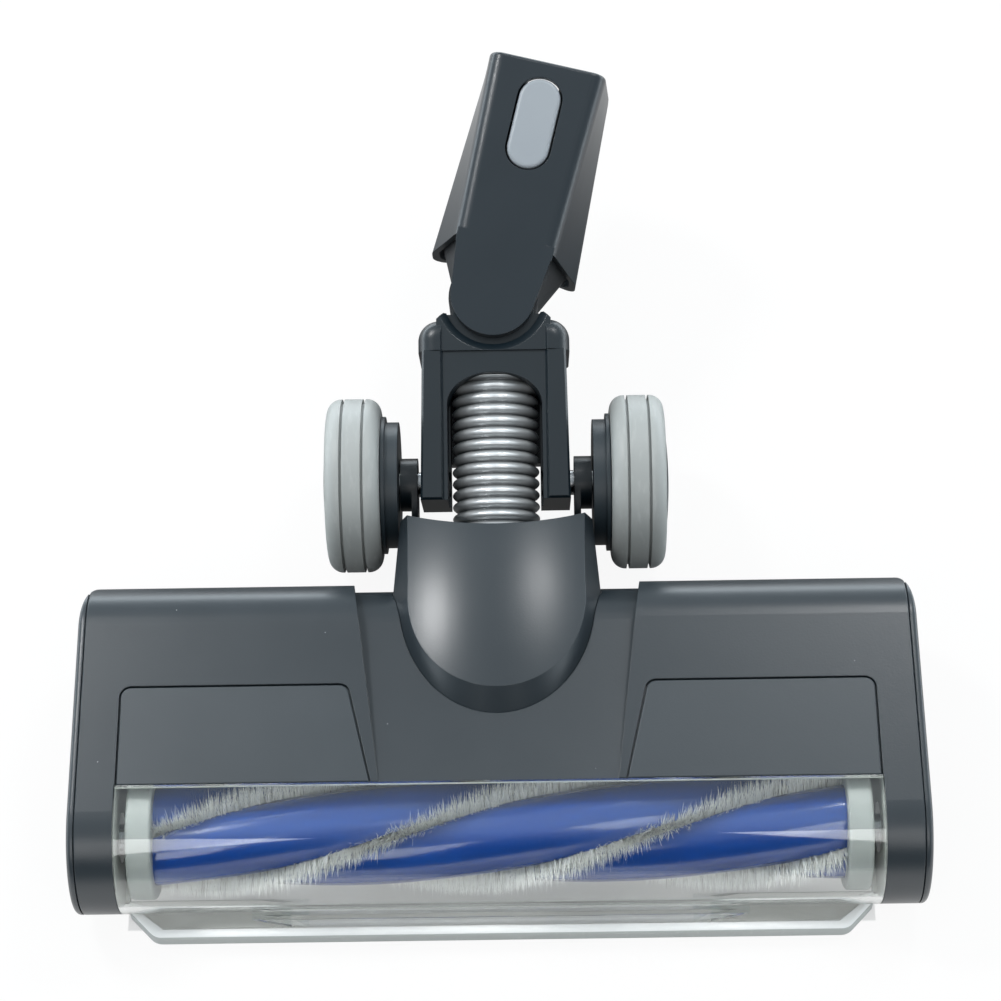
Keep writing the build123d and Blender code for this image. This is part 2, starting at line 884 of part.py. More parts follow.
with BuildPart() as motor_saddle:
    saddle_start = -motor_outer + 6
    saddle_end = -motor_inner - 6
    with BuildSketch(Plane.XY.offset(cover_z)) as saddle_foot:
        with Locations(((saddle_start + saddle_end) / 2, motor_y)):
            Rectangle(saddle_end - saddle_start, 2 * motor_radius)
    extrude(amount=saddle_base)
    with BuildSketch(Plane.YZ.offset(saddle_start)) as cradle:
        with Locations((motor_y, cover_z)):
            Rectangle(
                2 * (motor_radius + 1),
                motor_z - cover_z,
                align=(Align.CENTER, Align.MIN),
            )
    extrude(amount=saddle_width)
    extrude(cradle.sketch.moved(Location((saddle_end - saddle_start - saddle_width, 0, 0))),
            amount=saddle_width)
    with BuildSketch(Plane.YZ.offset(saddle_start)) as motor_bed:
        with Locations((motor_y, motor_z)):
            Circle(motor_radius + pin_gap)
    extrude(amount=saddle_end - saddle_start, mode=Mode.SUBTRACT)

# Head: suction duct from the brush chamber to the hose, and the pivot brackets


def duct_port_outline(inset):
    """Wide mouth of the duct against the chamber's back wall."""
    wall_y = brush_y + window_inner + shell_wall
    with BuildSketch(Plane.XZ.offset(-wall_y)) as port:
        with Locations((0, (duct_low + duct_high) / 2)):
            RectangleRounded(
                2 * (duct_half - inset),
                duct_high - duct_low - 2 * inset,
                duct_corner - inset,
            )
    return port.sketch


def duct_round(inset):
    """Round end of the duct, square to the hose."""
    with BuildSketch(cross_plane(neck_frame, spigot_low)) as ring:
        Circle(hose_bore - fit_gap - inset)
    return ring.sketch


with BuildPart() as suction_duct:
    loft([duct_port_outline(0), duct_round(0)])
    extrude(duct_round(0), amount=spigot_high - spigot_low)
    loft([duct_port_outline(duct_wall), duct_round(duct_wall)], mode=Mode.SUBTRACT)
    extrude(duct_round(duct_wall), amount=spigot_high - spigot_low, mode=Mode.SUBTRACT)

brackets = {}
axles = {}
for side, sign in (("left", -1), ("right", 1)):
    plate_start = min(sign * bracket_inner, sign * (bracket_inner + bracket_plate))
    boss_start = min(sign * bracket_inner, sign * (drum_inner - run_gap))
    foot_middle = sign * (foot_inner + bracket_inner + bracket_plate) / 2
    with BuildPart() as bracket:
        with BuildSketch(Plane.YZ.offset(plate_start)) as web:
            with Locations((axle_y, axle_z)):
                Circle(boss_radius)
            with Locations((brush_y + (foot_front + foot_back) / 2, cover_z)):
                Rectangle(
                    foot_back - foot_front,
                    foot_height,
                    align=(Align.CENTER, Align.MIN),
                )
            make_hull()
        extrude(amount=bracket_plate)
        with BuildSketch(Plane.YZ.offset(boss_start)) as boss:
            with Locations((axle_y, axle_z)):
                Circle(boss_radius)
        extrude(amount=drum_inner - run_gap - bracket_inner)
        with BuildSketch(Plane.XY.offset(cover_z)) as foot:
            with Locations((foot_middle, brush_y + (foot_front + foot_back) / 2)):
                Rectangle(bracket_inner + bracket_plate - foot_inner, foot_back - foot_front)
        extrude(amount=foot_height)
        with BuildSketch(Plane.YZ.offset(boss_start)) as axle_bore:
            with Locations((axle_y, axle_z)):
                Circle(axle_radius)
        extrude(amount=drum_inner, mode=Mode.SUBTRACT)
        with BuildSketch(Plane.XY.offset(cover_z)) as foot_bore:
            with Locations(*bracket_screw_places):
                Circle(screw_shank + pin_gap)
        extrude(amount=foot_height, mode=Mode.SUBTRACT)
    brackets[side] = bracket
    with BuildPart() as axle:
        rod_start = min(sign * axle_inner, sign * axle_outer)
        with BuildSketch(Plane.YZ.offset(rod_start)) as rod:
            with Locations((axle_y, axle_z)):
                Circle(axle_radius - pin_gap)
        extrude(amount=axle_outer - axle_inner)
        head_start = min(sign * axle_outer, sign * (axle_outer - axle_head_width))
        with BuildSketch(Plane.YZ.offset(head_start)) as rod_head:
            with Locations((axle_y, axle_z)):
                Circle(axle_head)
        extrude(amount=axle_head_width)
    axles[side] = axle

with BuildPart() as bracket_screws:
    with BuildSketch(Plane.XY.offset(cover_z + foot_height)) as bracket_heads:
        with Locations(*bracket_screw_places):
            Circle(screw_head)
    extrude(amount=screw_head_height)
    with BuildSketch(Plane.XY.offset(cover_z + foot_height)) as bracket_shanks:
        with Locations(*bracket_screw_places):
            Circle(screw_shank)
    extrude(amount=sole_z + screw_shank + fit_gap - cover_z - foot_height)

# Wheels, turned profiles about the axle

tyres = {}
hubs = {}
hub_caps = {}
for side, sign in (("left", -1), ("right", 1)):
    wheel_axis = Axis((0, axle_y, axle_z), (1, 0, 0))
    profile_plane = Plane(origin=(0, axle_y, axle_z), x_dir=(sign, 0, 0), z_dir=(0, -sign, 0))
    tyre_in = wheel_x - tyre_width / 2
    tyre_out = wheel_x + tyre_width / 2
    cap_r = rim_r - pin_gap
    dome_r = (cap_r**2 + cap_dome**2) / (2 * cap_dome)
    dome_angle = degrees(asin(cap_r / dome_r))
    with BuildPart() as tyre:
        with BuildSketch(profile_plane) as tread:
            with Locations((wheel_x, (rim_r + wheel_radius) / 2)):
                Rectangle(tyre_width, wheel_radius - rim_r)
            fillet(tread.vertices().group_by(Axis.Y)[-1], radius=tyre_shoulder)
            with Locations((wheel_x - groove_place, wheel_radius), (wheel_x + groove_place, wheel_radius)):
                Rectangle(tyre_slot, 2 * tyre_groove, mode=Mode.SUBTRACT)
        revolve(axis=wheel_axis)
    tyres[side] = tyre
    with BuildPart() as hub:
        with BuildSketch(profile_plane) as hub_profile:
            with BuildLine():
                Polyline(
                    (drum_inner, axle_radius),
                    (drum_inner, drum_radius),
                    (tyre_in - flange_width - fit_gap, drum_radius),
                    (tyre_in - flange_width - fit_gap, drum_flange),
                    (tyre_in - fit_gap, drum_flange),
                    (tyre_in - fit_gap, rim_r - pin_gap),
                    (tyre_out - cap_sink, rim_r - pin_gap),
                    (tyre_out - cap_sink, axle_radius),
                    close=True,
                )
            make_face()
        revolve(axis=wheel_axis)
    hubs[side] = hub
    with BuildPart() as hub_cap:
        with BuildSketch(profile_plane) as cap_profile:
            with BuildLine():
                Polyline(
                    (tyre_out + cap_dome, 0),
                    (tyre_out - cap_sink, 0),
                    (tyre_out - cap_sink, cap_r),
                    (tyre_out, cap_r),
                )
                CenterArc((tyre_out + cap_dome - dome_r, 0), dome_r, 0, dome_angle)
            make_face()
        revolve(axis=wheel_axis)
        with BuildSketch(Plane.YZ.offset(sign * (tyre_out - cap_sink))) as cap_hollow:
            with Locations((axle_y, axle_z)):
                Circle(cap_room)
        extrude(amount=sign * (cap_sink + cap_dome - cap_skin), mode=Mode.SUBTRACT)
    hub_caps[side] = hub_cap

# Sole rollers

with BuildPart() as sole_roller_pins:
    for sign in (-1, 1):
        with BuildSketch(Plane.YZ.offset(sign * roller_x - roller_width / 2 - 3)) as pin_round:
            with Locations((brush_y + roller_back, roller_z)):
                Circle(roller_pin)
        extrude(amount=roller_width + 6)

sole_rollers = {}
for side, sign in (("left", -1), ("right", 1)):
    with BuildPart() as sole_roller:
        with BuildSketch(Plane.YZ.offset(sign * roller_x - roller_width / 2)) as roller_round:
            with Locations((brush_y + roller_back, roller_z)):
                Circle(roller_radius)
                Circle(roller_pin + pin_gap, mode=Mode.SUBTRACT)
        extrude(amount=roller_width)
        rims = sole_roller.edges().filter_by(GeomType.CIRCLE).group_by(SortBy.RADIUS)[-1]
        chamfer(rims, length=0.8)
    sole_rollers[side] = sole_roller

# Neck: yoke with two arms and an arch, knuckle, back cover

with BuildPart() as neck_yoke:
    with BuildSketch(front_plane(neck_frame, neck_parting)) as yoke_front:
        with BuildLine():
            Polyline(
                (-neck_half, neck_start),
                (neck_half, neck_start),
                (neck_half_top, neck_top),
                (-neck_half_top, neck_top),
                close=True,
            )
        make_face()
    extrude(amount=neck_front - neck_parting)
    yoke_face = neck_yoke.faces().sort_by(Axis((0, 0, 0), outward))[-1]
    chamfer(yoke_face.edges().sort_by(Axis((0, 0, 0), along))[:-1], length=arm_edge)
    with BuildSketch(cross_plane(neck_frame, neck_start)) as hose_channel:
        Circle(channel_radius)
        Rectangle(2 * channel_radius, 2 * neck_half, align=(Align.CENTER, Align.MAX))
    extrude(amount=neck_top - neck_start, mode=Mode.SUBTRACT)
    with BuildSketch(front_plane(neck_frame, 0)) as hose_slot:
        with Locations((0, arch_spring)):
            Ellipse(slot_half, arch_rise)
            Rectangle(
                2 * slot_half,
                arch_spring - neck_start,
                align=(Align.CENTER, Align.MAX),
            )
    extrude(amount=2 * neck_front, mode=Mode.SUBTRACT)
    with BuildSketch(front_plane(neck_frame, plate_front)) as plate_step:
        with Locations((0, neck_start)):
            Rectangle(
                2 * (slot_half + arm_bevel),
                neck_top - neck_start,
                align=(Align.CENTER, Align.MIN),
            )
    extrude(amount=neck_front, mode=Mode.SUBTRACT, taper=-30)
    with BuildSketch(side_plane(neck_frame, -neck_half)) as arm_bores:
        Circle(axle_radius)
    extrude(amount=2 * neck_half, mode=Mode.SUBTRACT)
    with BuildSketch(front_plane(neck_frame, neck_parting)) as neck_screw_bores:
        with Locations(*neck_screw_places):
            Circle(screw_shank + pin_gap)
    extrude(amount=neck_screw_bite, mode=Mode.SUBTRACT)

with BuildPart() as neck_back_cover:
    with BuildSketch(cross_plane(neck_frame, back_cover_start)) as back_section:
        with Locations((0, (neck_back + neck_parting) / 2)):
            Rectangle(2 * neck_half_top, neck_parting - neck_back)
        fillet(back_section.vertices().group_by(Axis.Y)[0], radius=back_round)
        Circle(channel_radius, mode=Mode.SUBTRACT)
    extrude(amount=neck_top - back_cover_start)
    with BuildSketch(front_plane(neck_frame, neck_back)) as sunk_heads:
        with Locations(*neck_screw_places):
            Circle(screw_head + fit_gap)
    extrude(amount=screw_sink, mode=Mode.SUBTRACT)
    with BuildSketch(front_plane(neck_frame, neck_back)) as back_bores:
        with Locations(*neck_screw_places):
            Circle(screw_shank + pin_gap)
    extrude(amount=neck_parting - neck_back, mode=Mode.SUBTRACT)

with BuildPart() as neck_screws:
    with BuildSketch(front_plane(neck_frame, neck_back + screw_sink - screw_head_height)) as neck_heads:
        with Locations(*neck_screw_places):
            Circle(screw_head)
    extrude(amount=screw_head_height)
    with BuildSketch(front_plane(neck_frame, neck_back + screw_sink)) as neck_shanks:
        with Locations(*neck_screw_places):
            Circle(screw_shank)
    extrude(amount=neck_parting + neck_screw_bite - fit_gap - neck_back - screw_sink)

with BuildPart() as knuckle:
    with BuildSketch(front_plane(neck_frame, neck_back)) as knuckle_outline:
        with Locations((0, neck_top)):
            Rectangle(2 * knuckle_half, knuckle_height, align=(Align.CENTER, Align.MIN))
        fillet(knuckle_outline.vertices().group_by(Axis.Y)[-1], radius=knuckle_corner)
    extrude(amount=knuckle_front - neck_back)
    knuckle_face = knuckle.faces().sort_by(Axis((0, 0, 0), outward))[-1]
    fillet(knuckle_face.edges().sort_by(Axis((0, 0, 0), along))[1:], radius=knuckle_round)
    knuckle_rear = knuckle.faces().sort_by(Axis((0, 0, 0), outward))[0]
    fillet(knuckle_rear.edges().sort_by(Axis((0, 0, 0), along))[1:], radius=knuckle_round)
    with BuildSketch(front_plane(neck_frame, ear_low)) as horns:
        with Locations((0, neck_top)):
            Rectangle(
                2 * horn_half,
                knuckle_height + horn_rise,
                align=(Align.CENTER, Align.MIN),
            )
        chamfer(horns.vertices().group_by(Axis.Y)[-1], length=horn_rise)
    extrude(amount=saddle_front - ear_low)
    with BuildSketch(front_plane(neck_frame, saddle_front)) as saddle_cut:
        with Locations((0, neck_top)):
            Rectangle(2 * saddle_half, 2 * knuckle_height, align=(Align.CENTER, Align.MIN))
    extrude(amount=knuckle_front, mode=Mode.SUBTRACT, taper=-30)
    with BuildSketch(front_plane(neck_frame, ear_low)) as ear_outline:
        with Locations((0, pivot_s)):
            Circle(ear_radius)
            Rectangle(2 * ear_radius, pivot_s - neck_top, align=(Align.CENTER, Align.MAX))
    extrude(amount=ear_thickness)
    with BuildSketch(front_plane(neck_frame, -ear_low - ear_thickness)) as rear_ear:
        with Locations((0, pivot_s)):
            Circle(ear_radius)
            Rectangle(2 * ear_radius, pivot_s - neck_top, align=(Align.CENTER, Align.MAX))
    extrude(amount=ear_thickness)
    with BuildSketch(front_plane(neck_frame, -ear_low)) as drum_pocket:
        with Locations((0, pivot_s)):
            Circle(drum_r + run_gap)
    extrude(amount=2 * ear_low, mode=Mode.SUBTRACT)
    with BuildSketch(front_plane(neck_frame, ear_low + ear_thickness)) as tongue_seat:
        with Locations((0, pivot_s)):
            Circle(seat_radius)
    extrude(amount=neck_front, mode=Mode.SUBTRACT)
    with BuildSketch(front_plane(neck_frame, seat_level)) as seat_cone:
        with Locations((0, pivot_s)):
            Circle(seat_radius)
    extrude(amount=2 * (saddle_front - seat_level), mode=Mode.SUBTRACT, taper=-seat_flare)
    with BuildSketch(front_plane(neck_frame, -ear_low - ear_thickness)) as rear_seat:
        with Locations((0, pivot_s)):
            Circle(seat_radius)
    extrude(amount=neck_back, mode=Mode.SUBTRACT)
    with BuildSketch(cross_plane(neck_frame, neck_top)) as air_passage:
        Circle(hose_bore)
    extrude(amount=knuckle_height, mode=Mode.SUBTRACT)
    with BuildSketch(front_plane(neck_frame, -neck_front)) as pin_bores:
        with Locations((0, pivot_s)):
            Circle(swing_pin)
    extrude(amount=2 * neck_front, mode=Mode.SUBTRACT)

with BuildPart() as swing_pins:
    for start in (drum_half - ear_thickness, -ear_low - ear_thickness):
        with BuildSketch(front_plane(neck_frame, start)) as swing_round:
            with Locations((0, pivot_s)):
                Circle(swing_pin - pin_gap)
        extrude(amount=ear_low + 2 * ear_thickness - drum_half)

with BuildPart() as hose_collar:
    with BuildSketch(cross_plane(neck_frame, hose_high - hose_cuff)) as collar_ring:
        Circle(channel_radius - fit_gap)
        Circle(hose_valley + fit_gap, mode=Mode.SUBTRACT)
    extrude(amount=hose_cuff + fit_gap)
    with BuildSketch(cross_plane(neck_frame, hose_high + fit_gap)) as collar_lip:
        Circle(channel_radius - fit_gap)
        Circle(hose_bore - fit_gap, mode=Mode.SUBTRACT)
    extrude(amount=neck_top - hose_high - fit_gap)

# Ribbed hose, one turned profile along the neck axis

with BuildPart() as ribbed_hose:
    with BuildSketch(side_plane(neck_frame, 0)) as hose_profile:
        with BuildLine():
            points = [(hose_low, hose_bore), (hose_low, hose_valley)]
            place = hose_low + hose_cuff
            while place + hose_pitch < hose_high - hose_cuff:
                points.append((place, hose_valley))
                points.append((place + rib_flank * hose_pitch, hose_crest))
                points.append((place + (1 - rib_flank) * hose_pitch - rib_root, hose_crest))
                points.append((place + hose_pitch - rib_root, hose_valley))
                place = place + hose_pitch
            points.append((hose_high, hose_valley))
            points.append((hose_high, hose_bore))
            Polyline(*points, close=True)
        make_face()
    revolve(axis=Axis(neck_frame.origin, along))

# Socket: shell with front tongue, swivel core with the bore, contacts and button


def socket_outline(place, halves, heights, corners, inset=0.0):
    """Section across the socket: narrow flat front, sides that draw apart, round back."""
    front_half, half = halves
    front, widest, back = heights
    with BuildSketch(cross_plane(socket_frame, place)) as section:
        with BuildLine():
            Polyline(
                (-front_half, front),
                (front_half, front),
                (half, widest),
                (half, back),
                (-half, back),
                (-half, widest),
                close=True,
            )
        make_face()
        for level, radius in zip((1, 0, -1), corners):
            fillet(section.vertices().group_by(Axis.Y)[level], radius=radius)
        if inset:
            offset(amount=-inset, mode=Mode.REPLACE)
    return section.sketch


def socket_section(place, inset):
    """Section of the socket at a place along it, drawn in by a wall."""
    share = (place - skirt_low) / (socket_length - skirt_low)
    return socket_outline(
        place,
        (
            skirt_front + (mouth_front - skirt_front) * share,
            skirt_half + (mouth_half - skirt_half) * share,
        ),
        (socket_front, socket_widest, socket_back),
        (side_bend, back_corner, front_corner),
        inset,
    )


def button_slot(height, growth):
    """Outline of the release button on the socket's front."""
    with BuildSketch(front_plane(socket_frame, height)) as slot:
        with Locations((0, button_place)):
            SlotOverall(button_length + 2 * growth, button_width + 2 * growth, rotation=90)
    return slot.sketch


with BuildPart() as socket_shell:
    loft([socket_section(skirt_low, 0), socket_section(socket_length, 0)])
    mouth_rim = socket_shell.faces().sort_by(Axis((0, 0, 0), socket_frame.y_dir))[-1]
    fillet(mouth_rim.edges(), radius=mouth_round)
    loft(
        [socket_section(skirt_low - 1, socket_wall), socket_section(socket_length + 1, socket_wall)],
        mode=Mode.SUBTRACT,
    )
    with BuildSketch(front_plane(socket_frame, -2 * neck_half)) as rim_cut:
        with BuildLine():
            Polyline(
                (-2 * skirt_half, skirt_low - 4),
                (-skirt_half, skirt_low),
                (-tongue_flare, tongue_top),
                (tongue_flare, tongue_top),
                (skirt_half, skirt_low),
                (2 * skirt_half, skirt_low - 4),
                close=True,
            )
        make_face()
    extrude(amount=4 * neck_half, mode=Mode.SUBTRACT)
    with BuildSketch(front_plane(socket_frame, socket_front - tongue_thickness)) as tongue:
        Circle(tongue_radius)
        with BuildLine():
            Polyline(
                (-tongue_radius, 0),
                (tongue_radius, 0),
                (tongue_flare, tongue_top),
                (-tongue_flare, tongue_top),
                close=True,
            )
        make_face()
    extrude(amount=tongue_thickness)
    with BuildSketch(front_plane(socket_frame, socket_front - socket_wall)) as tongue_root:
        with Locations((0, tongue_top)):
            Rectangle(2 * tongue_flare, 2 * socket_wall)
    extrude(amount=socket_wall)
    extrude(button_slot(0, button_gap), amount=2 * socket_front, mode=Mode.SUBTRACT)

with BuildPart() as swivel_core:
    with BuildSketch(front_plane(socket_frame, -drum_half)) as drum_front:
        Circle(drum_r)
    extrude(amount=2 * drum_half)
    loft(
        [
            socket_outline(
                flare_start,
                (flare_front, drum_r - fit_gap),
                (drum_half, socket_widest, -drum_half),
                (flare_round, flare_round, flare_round),
            ),
            socket_outline(
                core_low,
                (flare_top_front, flare_top),
                (drum_half, socket_widest, -drum_half),
                (flare_round, flare_round, flare_round),
            ),
        ]
    )
    loft(
        [
            socket_section(core_low, socket_wall + fit_gap),
            socket_section(core_high, socket_wall + fit_gap),
        ]
    )
    with BuildSketch(cross_plane(socket_frame, bore_floor)) as wand_bore:
        with Locations((0, bore_offset)):
            Circle(bore_radius)
    extrude(amount=core_high - bore_floor, mode=Mode.SUBTRACT)
    with BuildSketch(cross_plane(socket_frame, contact_floor)) as contact_well:
        with Locations((0, bore_offset)):
            Circle(bore_radius - contact_step)
    extrude(amount=bore_floor - contact_floor, mode=Mode.SUBTRACT)
    with BuildSketch(cross_plane(socket_frame, 0)) as airway:
        Circle(airway_radius)
    extrude(amount=contact_floor, mode=Mode.SUBTRACT)
    with BuildSketch(front_plane(socket_frame, -airway_radius)) as air_fan:
        with BuildLine():
            Polyline(
                (-airway_radius, 0),
                (airway_radius, 0),
                (fan_half, -drum_r),
                (-fan_half, -drum_r),
                close=True,
            )
        make_face()
    extrude(amount=2 * airway_radius, mode=Mode.SUBTRACT)
    with BuildSketch(front_plane(socket_frame, -drum_half)) as drum_bores:
        Circle(swing_pin)
    extrude(amount=2 * drum_half, mode=Mode.SUBTRACT)
    extrude(
        button_slot(button_low - button_room, button_gap),
        amount=socket_front,
        mode=Mode.SUBTRACT,
    )
    with BuildSketch(front_plane(socket_frame, bore_offset)) as hook_slot:
        with Locations((0, button_place + hook_place)):
            Rectangle(hook_width + 2 * run_gap, hook_length + 2 * run_gap)
    extrude(amount=socket_front - bore_offset, mode=Mode.SUBTRACT)
    with BuildSketch(side_plane(socket_frame, -rocker_half)) as rocker_bore:
        with Locations((button_place, rocker_h)):
            Circle(rocker_radius)
    extrude(amount=2 * rocker_half, mode=Mode.SUBTRACT)
    with BuildSketch(cross_plane(socket_frame, contact_floor)) as contact_bores:
        with Locations((-contact_x, contact_h), (contact_x, contact_h)):
            Circle(contact_radius + pin_gap)
    extrude(amount=-contact_root, mode=Mode.SUBTRACT)

with BuildPart() as contact_pins:
    with BuildSketch(cross_plane(socket_frame, contact_floor - contact_root + fit_gap)) as pin_ends:
        with Locations((-contact_x, contact_h), (contact_x, contact_h)):
            Circle(contact_radius)
    extrude(amount=contact_root + contact_height)

with BuildPart() as rocker_pin:
    with BuildSketch(side_plane(socket_frame, -rocker_half + fit_gap)) as rocker_round:
        with Locations((button_place, rocker_h)):
            Circle(rocker_radius - pin_gap)
    extrude(amount=2 * (rocker_half - fit_gap))

with BuildPart() as release_button:
    extrude(button_slot(button_low, 0), amount=button_high - button_low)
    crown_face = release_button.faces().sort_by(Axis((0, 0, 0), outward))[-1]
    fillet(crown_face.edges(), radius=button_round)
    with BuildSketch(front_plane(socket_frame, hook_tip)) as hook:
        with Locations((0, button_place + hook_place)):
            Rectangle(hook_width, hook_length)
    extrude(amount=button_low - hook_tip)
    with BuildSketch(side_plane(socket_frame, -button_width)) as button_bore:
        with Locations((button_place, rocker_h)):
            Circle(rocker_radius)
    extrude(amount=2 * button_width, mode=Mode.SUBTRACT)

pieces = {
    "top_cover": top_cover,
    "left_end_cap": end_caps["left"],
    "right_end_cap": end_caps["right"],
    "left_panel": panels["left"],
    "right_panel": panels["right"],
    "neck_hood": neck_hood,
    "base_plate": base_plate,
    "base_screws": base_screws,
    "lint_strip": lint_strip,
    "brush_window": brush_window,
    "front_bumper": front_bumper,
    "roller_core": roller_core,
    "bristle_strips": bristle_strips,
    "left_roller_hub": roller_hubs["left"],
    "right_roller_hub": roller_hubs["right"],
    "roller_shaft": roller_shaft,
    "left_bearing": bearings["left"],
    "right_bearing": bearings["right"],
    "driven_pulley": driven_pulley,
    "motor_pulley": motor_pulley,
    "motor_shaft": motor_shaft,
    "drive_belt": drive_belt,
    "brush_motor": brush_motor,
    "motor_saddle": motor_saddle,
    "suction_duct": suction_duct,
    "left_pivot_bracket": brackets["left"],
    "right_pivot_bracket": brackets["right"],
    "bracket_screws": bracket_screws,
    "left_axle": axles["left"],
    "right_axle": axles["right"],
    "left_tyre": tyres["left"],
    "right_tyre": tyres["right"],
    "left_wheel_hub": hubs["left"],
    "right_wheel_hub": hubs["right"],
    "left_hub_cap": hub_caps["left"],
    "right_hub_cap": hub_caps["right"],
    "sole_roller_pins": sole_roller_pins,
    "left_sole_roller": sole_rollers["left"],
    "right_sole_roller": sole_rollers["right"],
    "neck_yoke": neck_yoke,
    "neck_back_cover": neck_back_cover,
    "neck_screws": neck_screws,
    "knuckle": knuckle,
    "swing_pins": swing_pins,
    "hose_collar": hose_collar,
    "ribbed_hose": ribbed_hose,
    "socket_shell": socket_shell,
    "swivel_core": swivel_core,
    "contact_pins": contact_pins,
    "rocker_pin": rocker_pin,
    "release_button": release_button,
}

for name, piece in pieces.items():
    piece.part.label = name
    export_step(piece.part, f"parts/{name}.step")
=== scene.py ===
# %% [markdown]
# # A powered floor head for a cordless vacuum cleaner
# The rigid mouldings come from the CAD model and keep their shape. This lesson gives each of them
# its finish, and makes the pieces that a plain solid can't show: the bristles of the brush roller,
# the ribbed hose, the pile of the lint strip and the cross recesses of the screws.

# %% Load the fixed frame
import json
import math

import bpy
from mathutils import Matrix, Vector


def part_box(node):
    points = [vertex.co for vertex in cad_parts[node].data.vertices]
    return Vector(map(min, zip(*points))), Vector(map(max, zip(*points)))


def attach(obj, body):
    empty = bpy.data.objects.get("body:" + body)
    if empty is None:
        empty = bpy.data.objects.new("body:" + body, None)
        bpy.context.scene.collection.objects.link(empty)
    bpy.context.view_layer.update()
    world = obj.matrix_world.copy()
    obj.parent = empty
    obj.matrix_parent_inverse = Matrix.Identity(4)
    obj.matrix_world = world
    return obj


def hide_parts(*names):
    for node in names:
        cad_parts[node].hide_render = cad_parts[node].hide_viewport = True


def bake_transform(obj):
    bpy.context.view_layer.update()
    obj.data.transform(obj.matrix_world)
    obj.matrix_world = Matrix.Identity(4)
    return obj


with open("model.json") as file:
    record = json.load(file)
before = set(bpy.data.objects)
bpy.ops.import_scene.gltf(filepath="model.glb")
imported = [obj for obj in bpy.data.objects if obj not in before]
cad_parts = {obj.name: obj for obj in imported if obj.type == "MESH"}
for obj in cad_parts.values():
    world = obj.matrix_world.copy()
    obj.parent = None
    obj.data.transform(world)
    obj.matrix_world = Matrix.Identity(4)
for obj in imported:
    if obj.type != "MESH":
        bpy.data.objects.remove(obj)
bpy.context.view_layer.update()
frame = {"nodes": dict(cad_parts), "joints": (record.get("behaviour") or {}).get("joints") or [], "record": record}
nodes = frame["nodes"]
joints = {joint["name"]: joint for joint in frame["joints"]}
MM = 0.001

# %% [markdown]
# ## Places that everything else is measured from
# The joints of the model already say where the brush turns and where the neck tilts, so those
# places are read from them. A second copy of the numbers here could drift from the model.

# %% Axes of the brush, the neck and the socket
brush_axis = Vector(joints["brush_spin"]["pos_m"])
neck_axle = Vector(joints["neck_pitch"]["pos_m"])
socket_pivot = Vector(joints["socket_swing"]["pos_m"])
neck_along = (socket_pivot - neck_axle).normalized()
neck_outward = Vector(joints["socket_swing"]["axis"]).normalized()
print("brush axis", brush_axis[:], "neck axle", neck_axle[:])

# %% [markdown]
# ## Camera
# The photograph looks down on the head from the front, about sixty degrees above the floor, a touch
# from the right, with a long lens and a slight roll. The lens follows from the focal length in
# pixels, which was worked out from the head's width at the bumper and at the back.

# %% Camera at the photograph's angle
PHOTO_PIXELS = 1001
FOCAL_PIXELS = 2800
SENSOR_MM = 36.0
CAMERA_ELEVATION = math.radians(61)
CAMERA_AZIMUTH = math.radians(1.03)
CAMERA_ROLL = math.radians(-1.776)
CAMERA_FROM_BRUSH = Vector((9.04, -319.89, 0)) * MM
CAMERA_HEIGHT = 802.28 * MM

camera = bpy.data.objects.new("photo_camera", bpy.data.cameras.new("photo_camera"))
bpy.context.scene.collection.objects.link(camera)
camera.data.sensor_width = SENSOR_MM
camera.data.lens = SENSOR_MM * FOCAL_PIXELS / PHOTO_PIXELS
camera.data.clip_start = 0.01
place = Vector((0, brush_axis.y, CAMERA_HEIGHT)) + CAMERA_FROM_BRUSH
camera.matrix_world = (
    Matrix.Translation(place)
    @ Matrix.Rotation(CAMERA_AZIMUTH, 4, "Z")
    @ Matrix.Rotation(math.pi / 2 - CAMERA_ELEVATION, 4, "X")
    @ Matrix.Rotation(CAMERA_ROLL, 4, "Z")
)
bpy.context.scene.camera = camera
bpy.context.scene.view_settings.view_transform = "Standard"
print("lens", round(camera.data.lens, 2), "mm")

# %% [markdown]
# ## Two small helpers
# Every colour below is written as the hex value that a screen shows, and one function turns it to
# the linear numbers that Blender works in. A second function adds a node, sets it and links it.

# %% Colour and node helpers


def linear(hex_colour):
    """Linear red, green, blue and alpha of a colour written as on a screen."""
    parts = [int(hex_colour[i:i + 2], 16) / 255 for i in (1, 3, 5)]
    return [c / 12.92 if c <= 0.04045 else ((c + 0.055) / 1.055) ** 2.4 for c in parts] + [1.0]


def add_node(tree, kind, inputs=(), **settings):
    """Adds a node. An input is given by name or place, as a value, a socket or a node."""
    made = tree.nodes.new(kind)
    for key, value in settings.items():
        setattr(made, key, value)
    for key, value in dict(inputs).items():
        if isinstance(key, int):
            socket = made.inputs[key]
        else:
            socket = next(s for s in made.inputs if s.enabled and s.name == key)
        if isinstance(value, bpy.types.Node):
            value = next(s for s in value.outputs if s.enabled)
        if isinstance(value, bpy.types.NodeSocket):
            tree.links.new(value, socket)
        else:
            socket.default_value = value
    return made


def new_material(name):
    """An empty node material, with its tree and its output node."""
    material = bpy.data.materials.new(name)
    material.use_nodes = True
    material.node_tree.nodes.clear()
    return material, material.node_tree, add_node(material.node_tree, "ShaderNodeOutputMaterial")


# %% [markdown]
# ## Floor, backdrop and light
# The head was photographed on white under soft lamps. The white comes from the floor and the world
# where the camera sees them, straight or through a clear piece, so no extra light falls on the head,
# and the floor still takes its shadow. Under the brush and close to the head, where the head keeps
# the light off, the floor glows less. From below the floor is clear, so that the sole can be looked
# at.

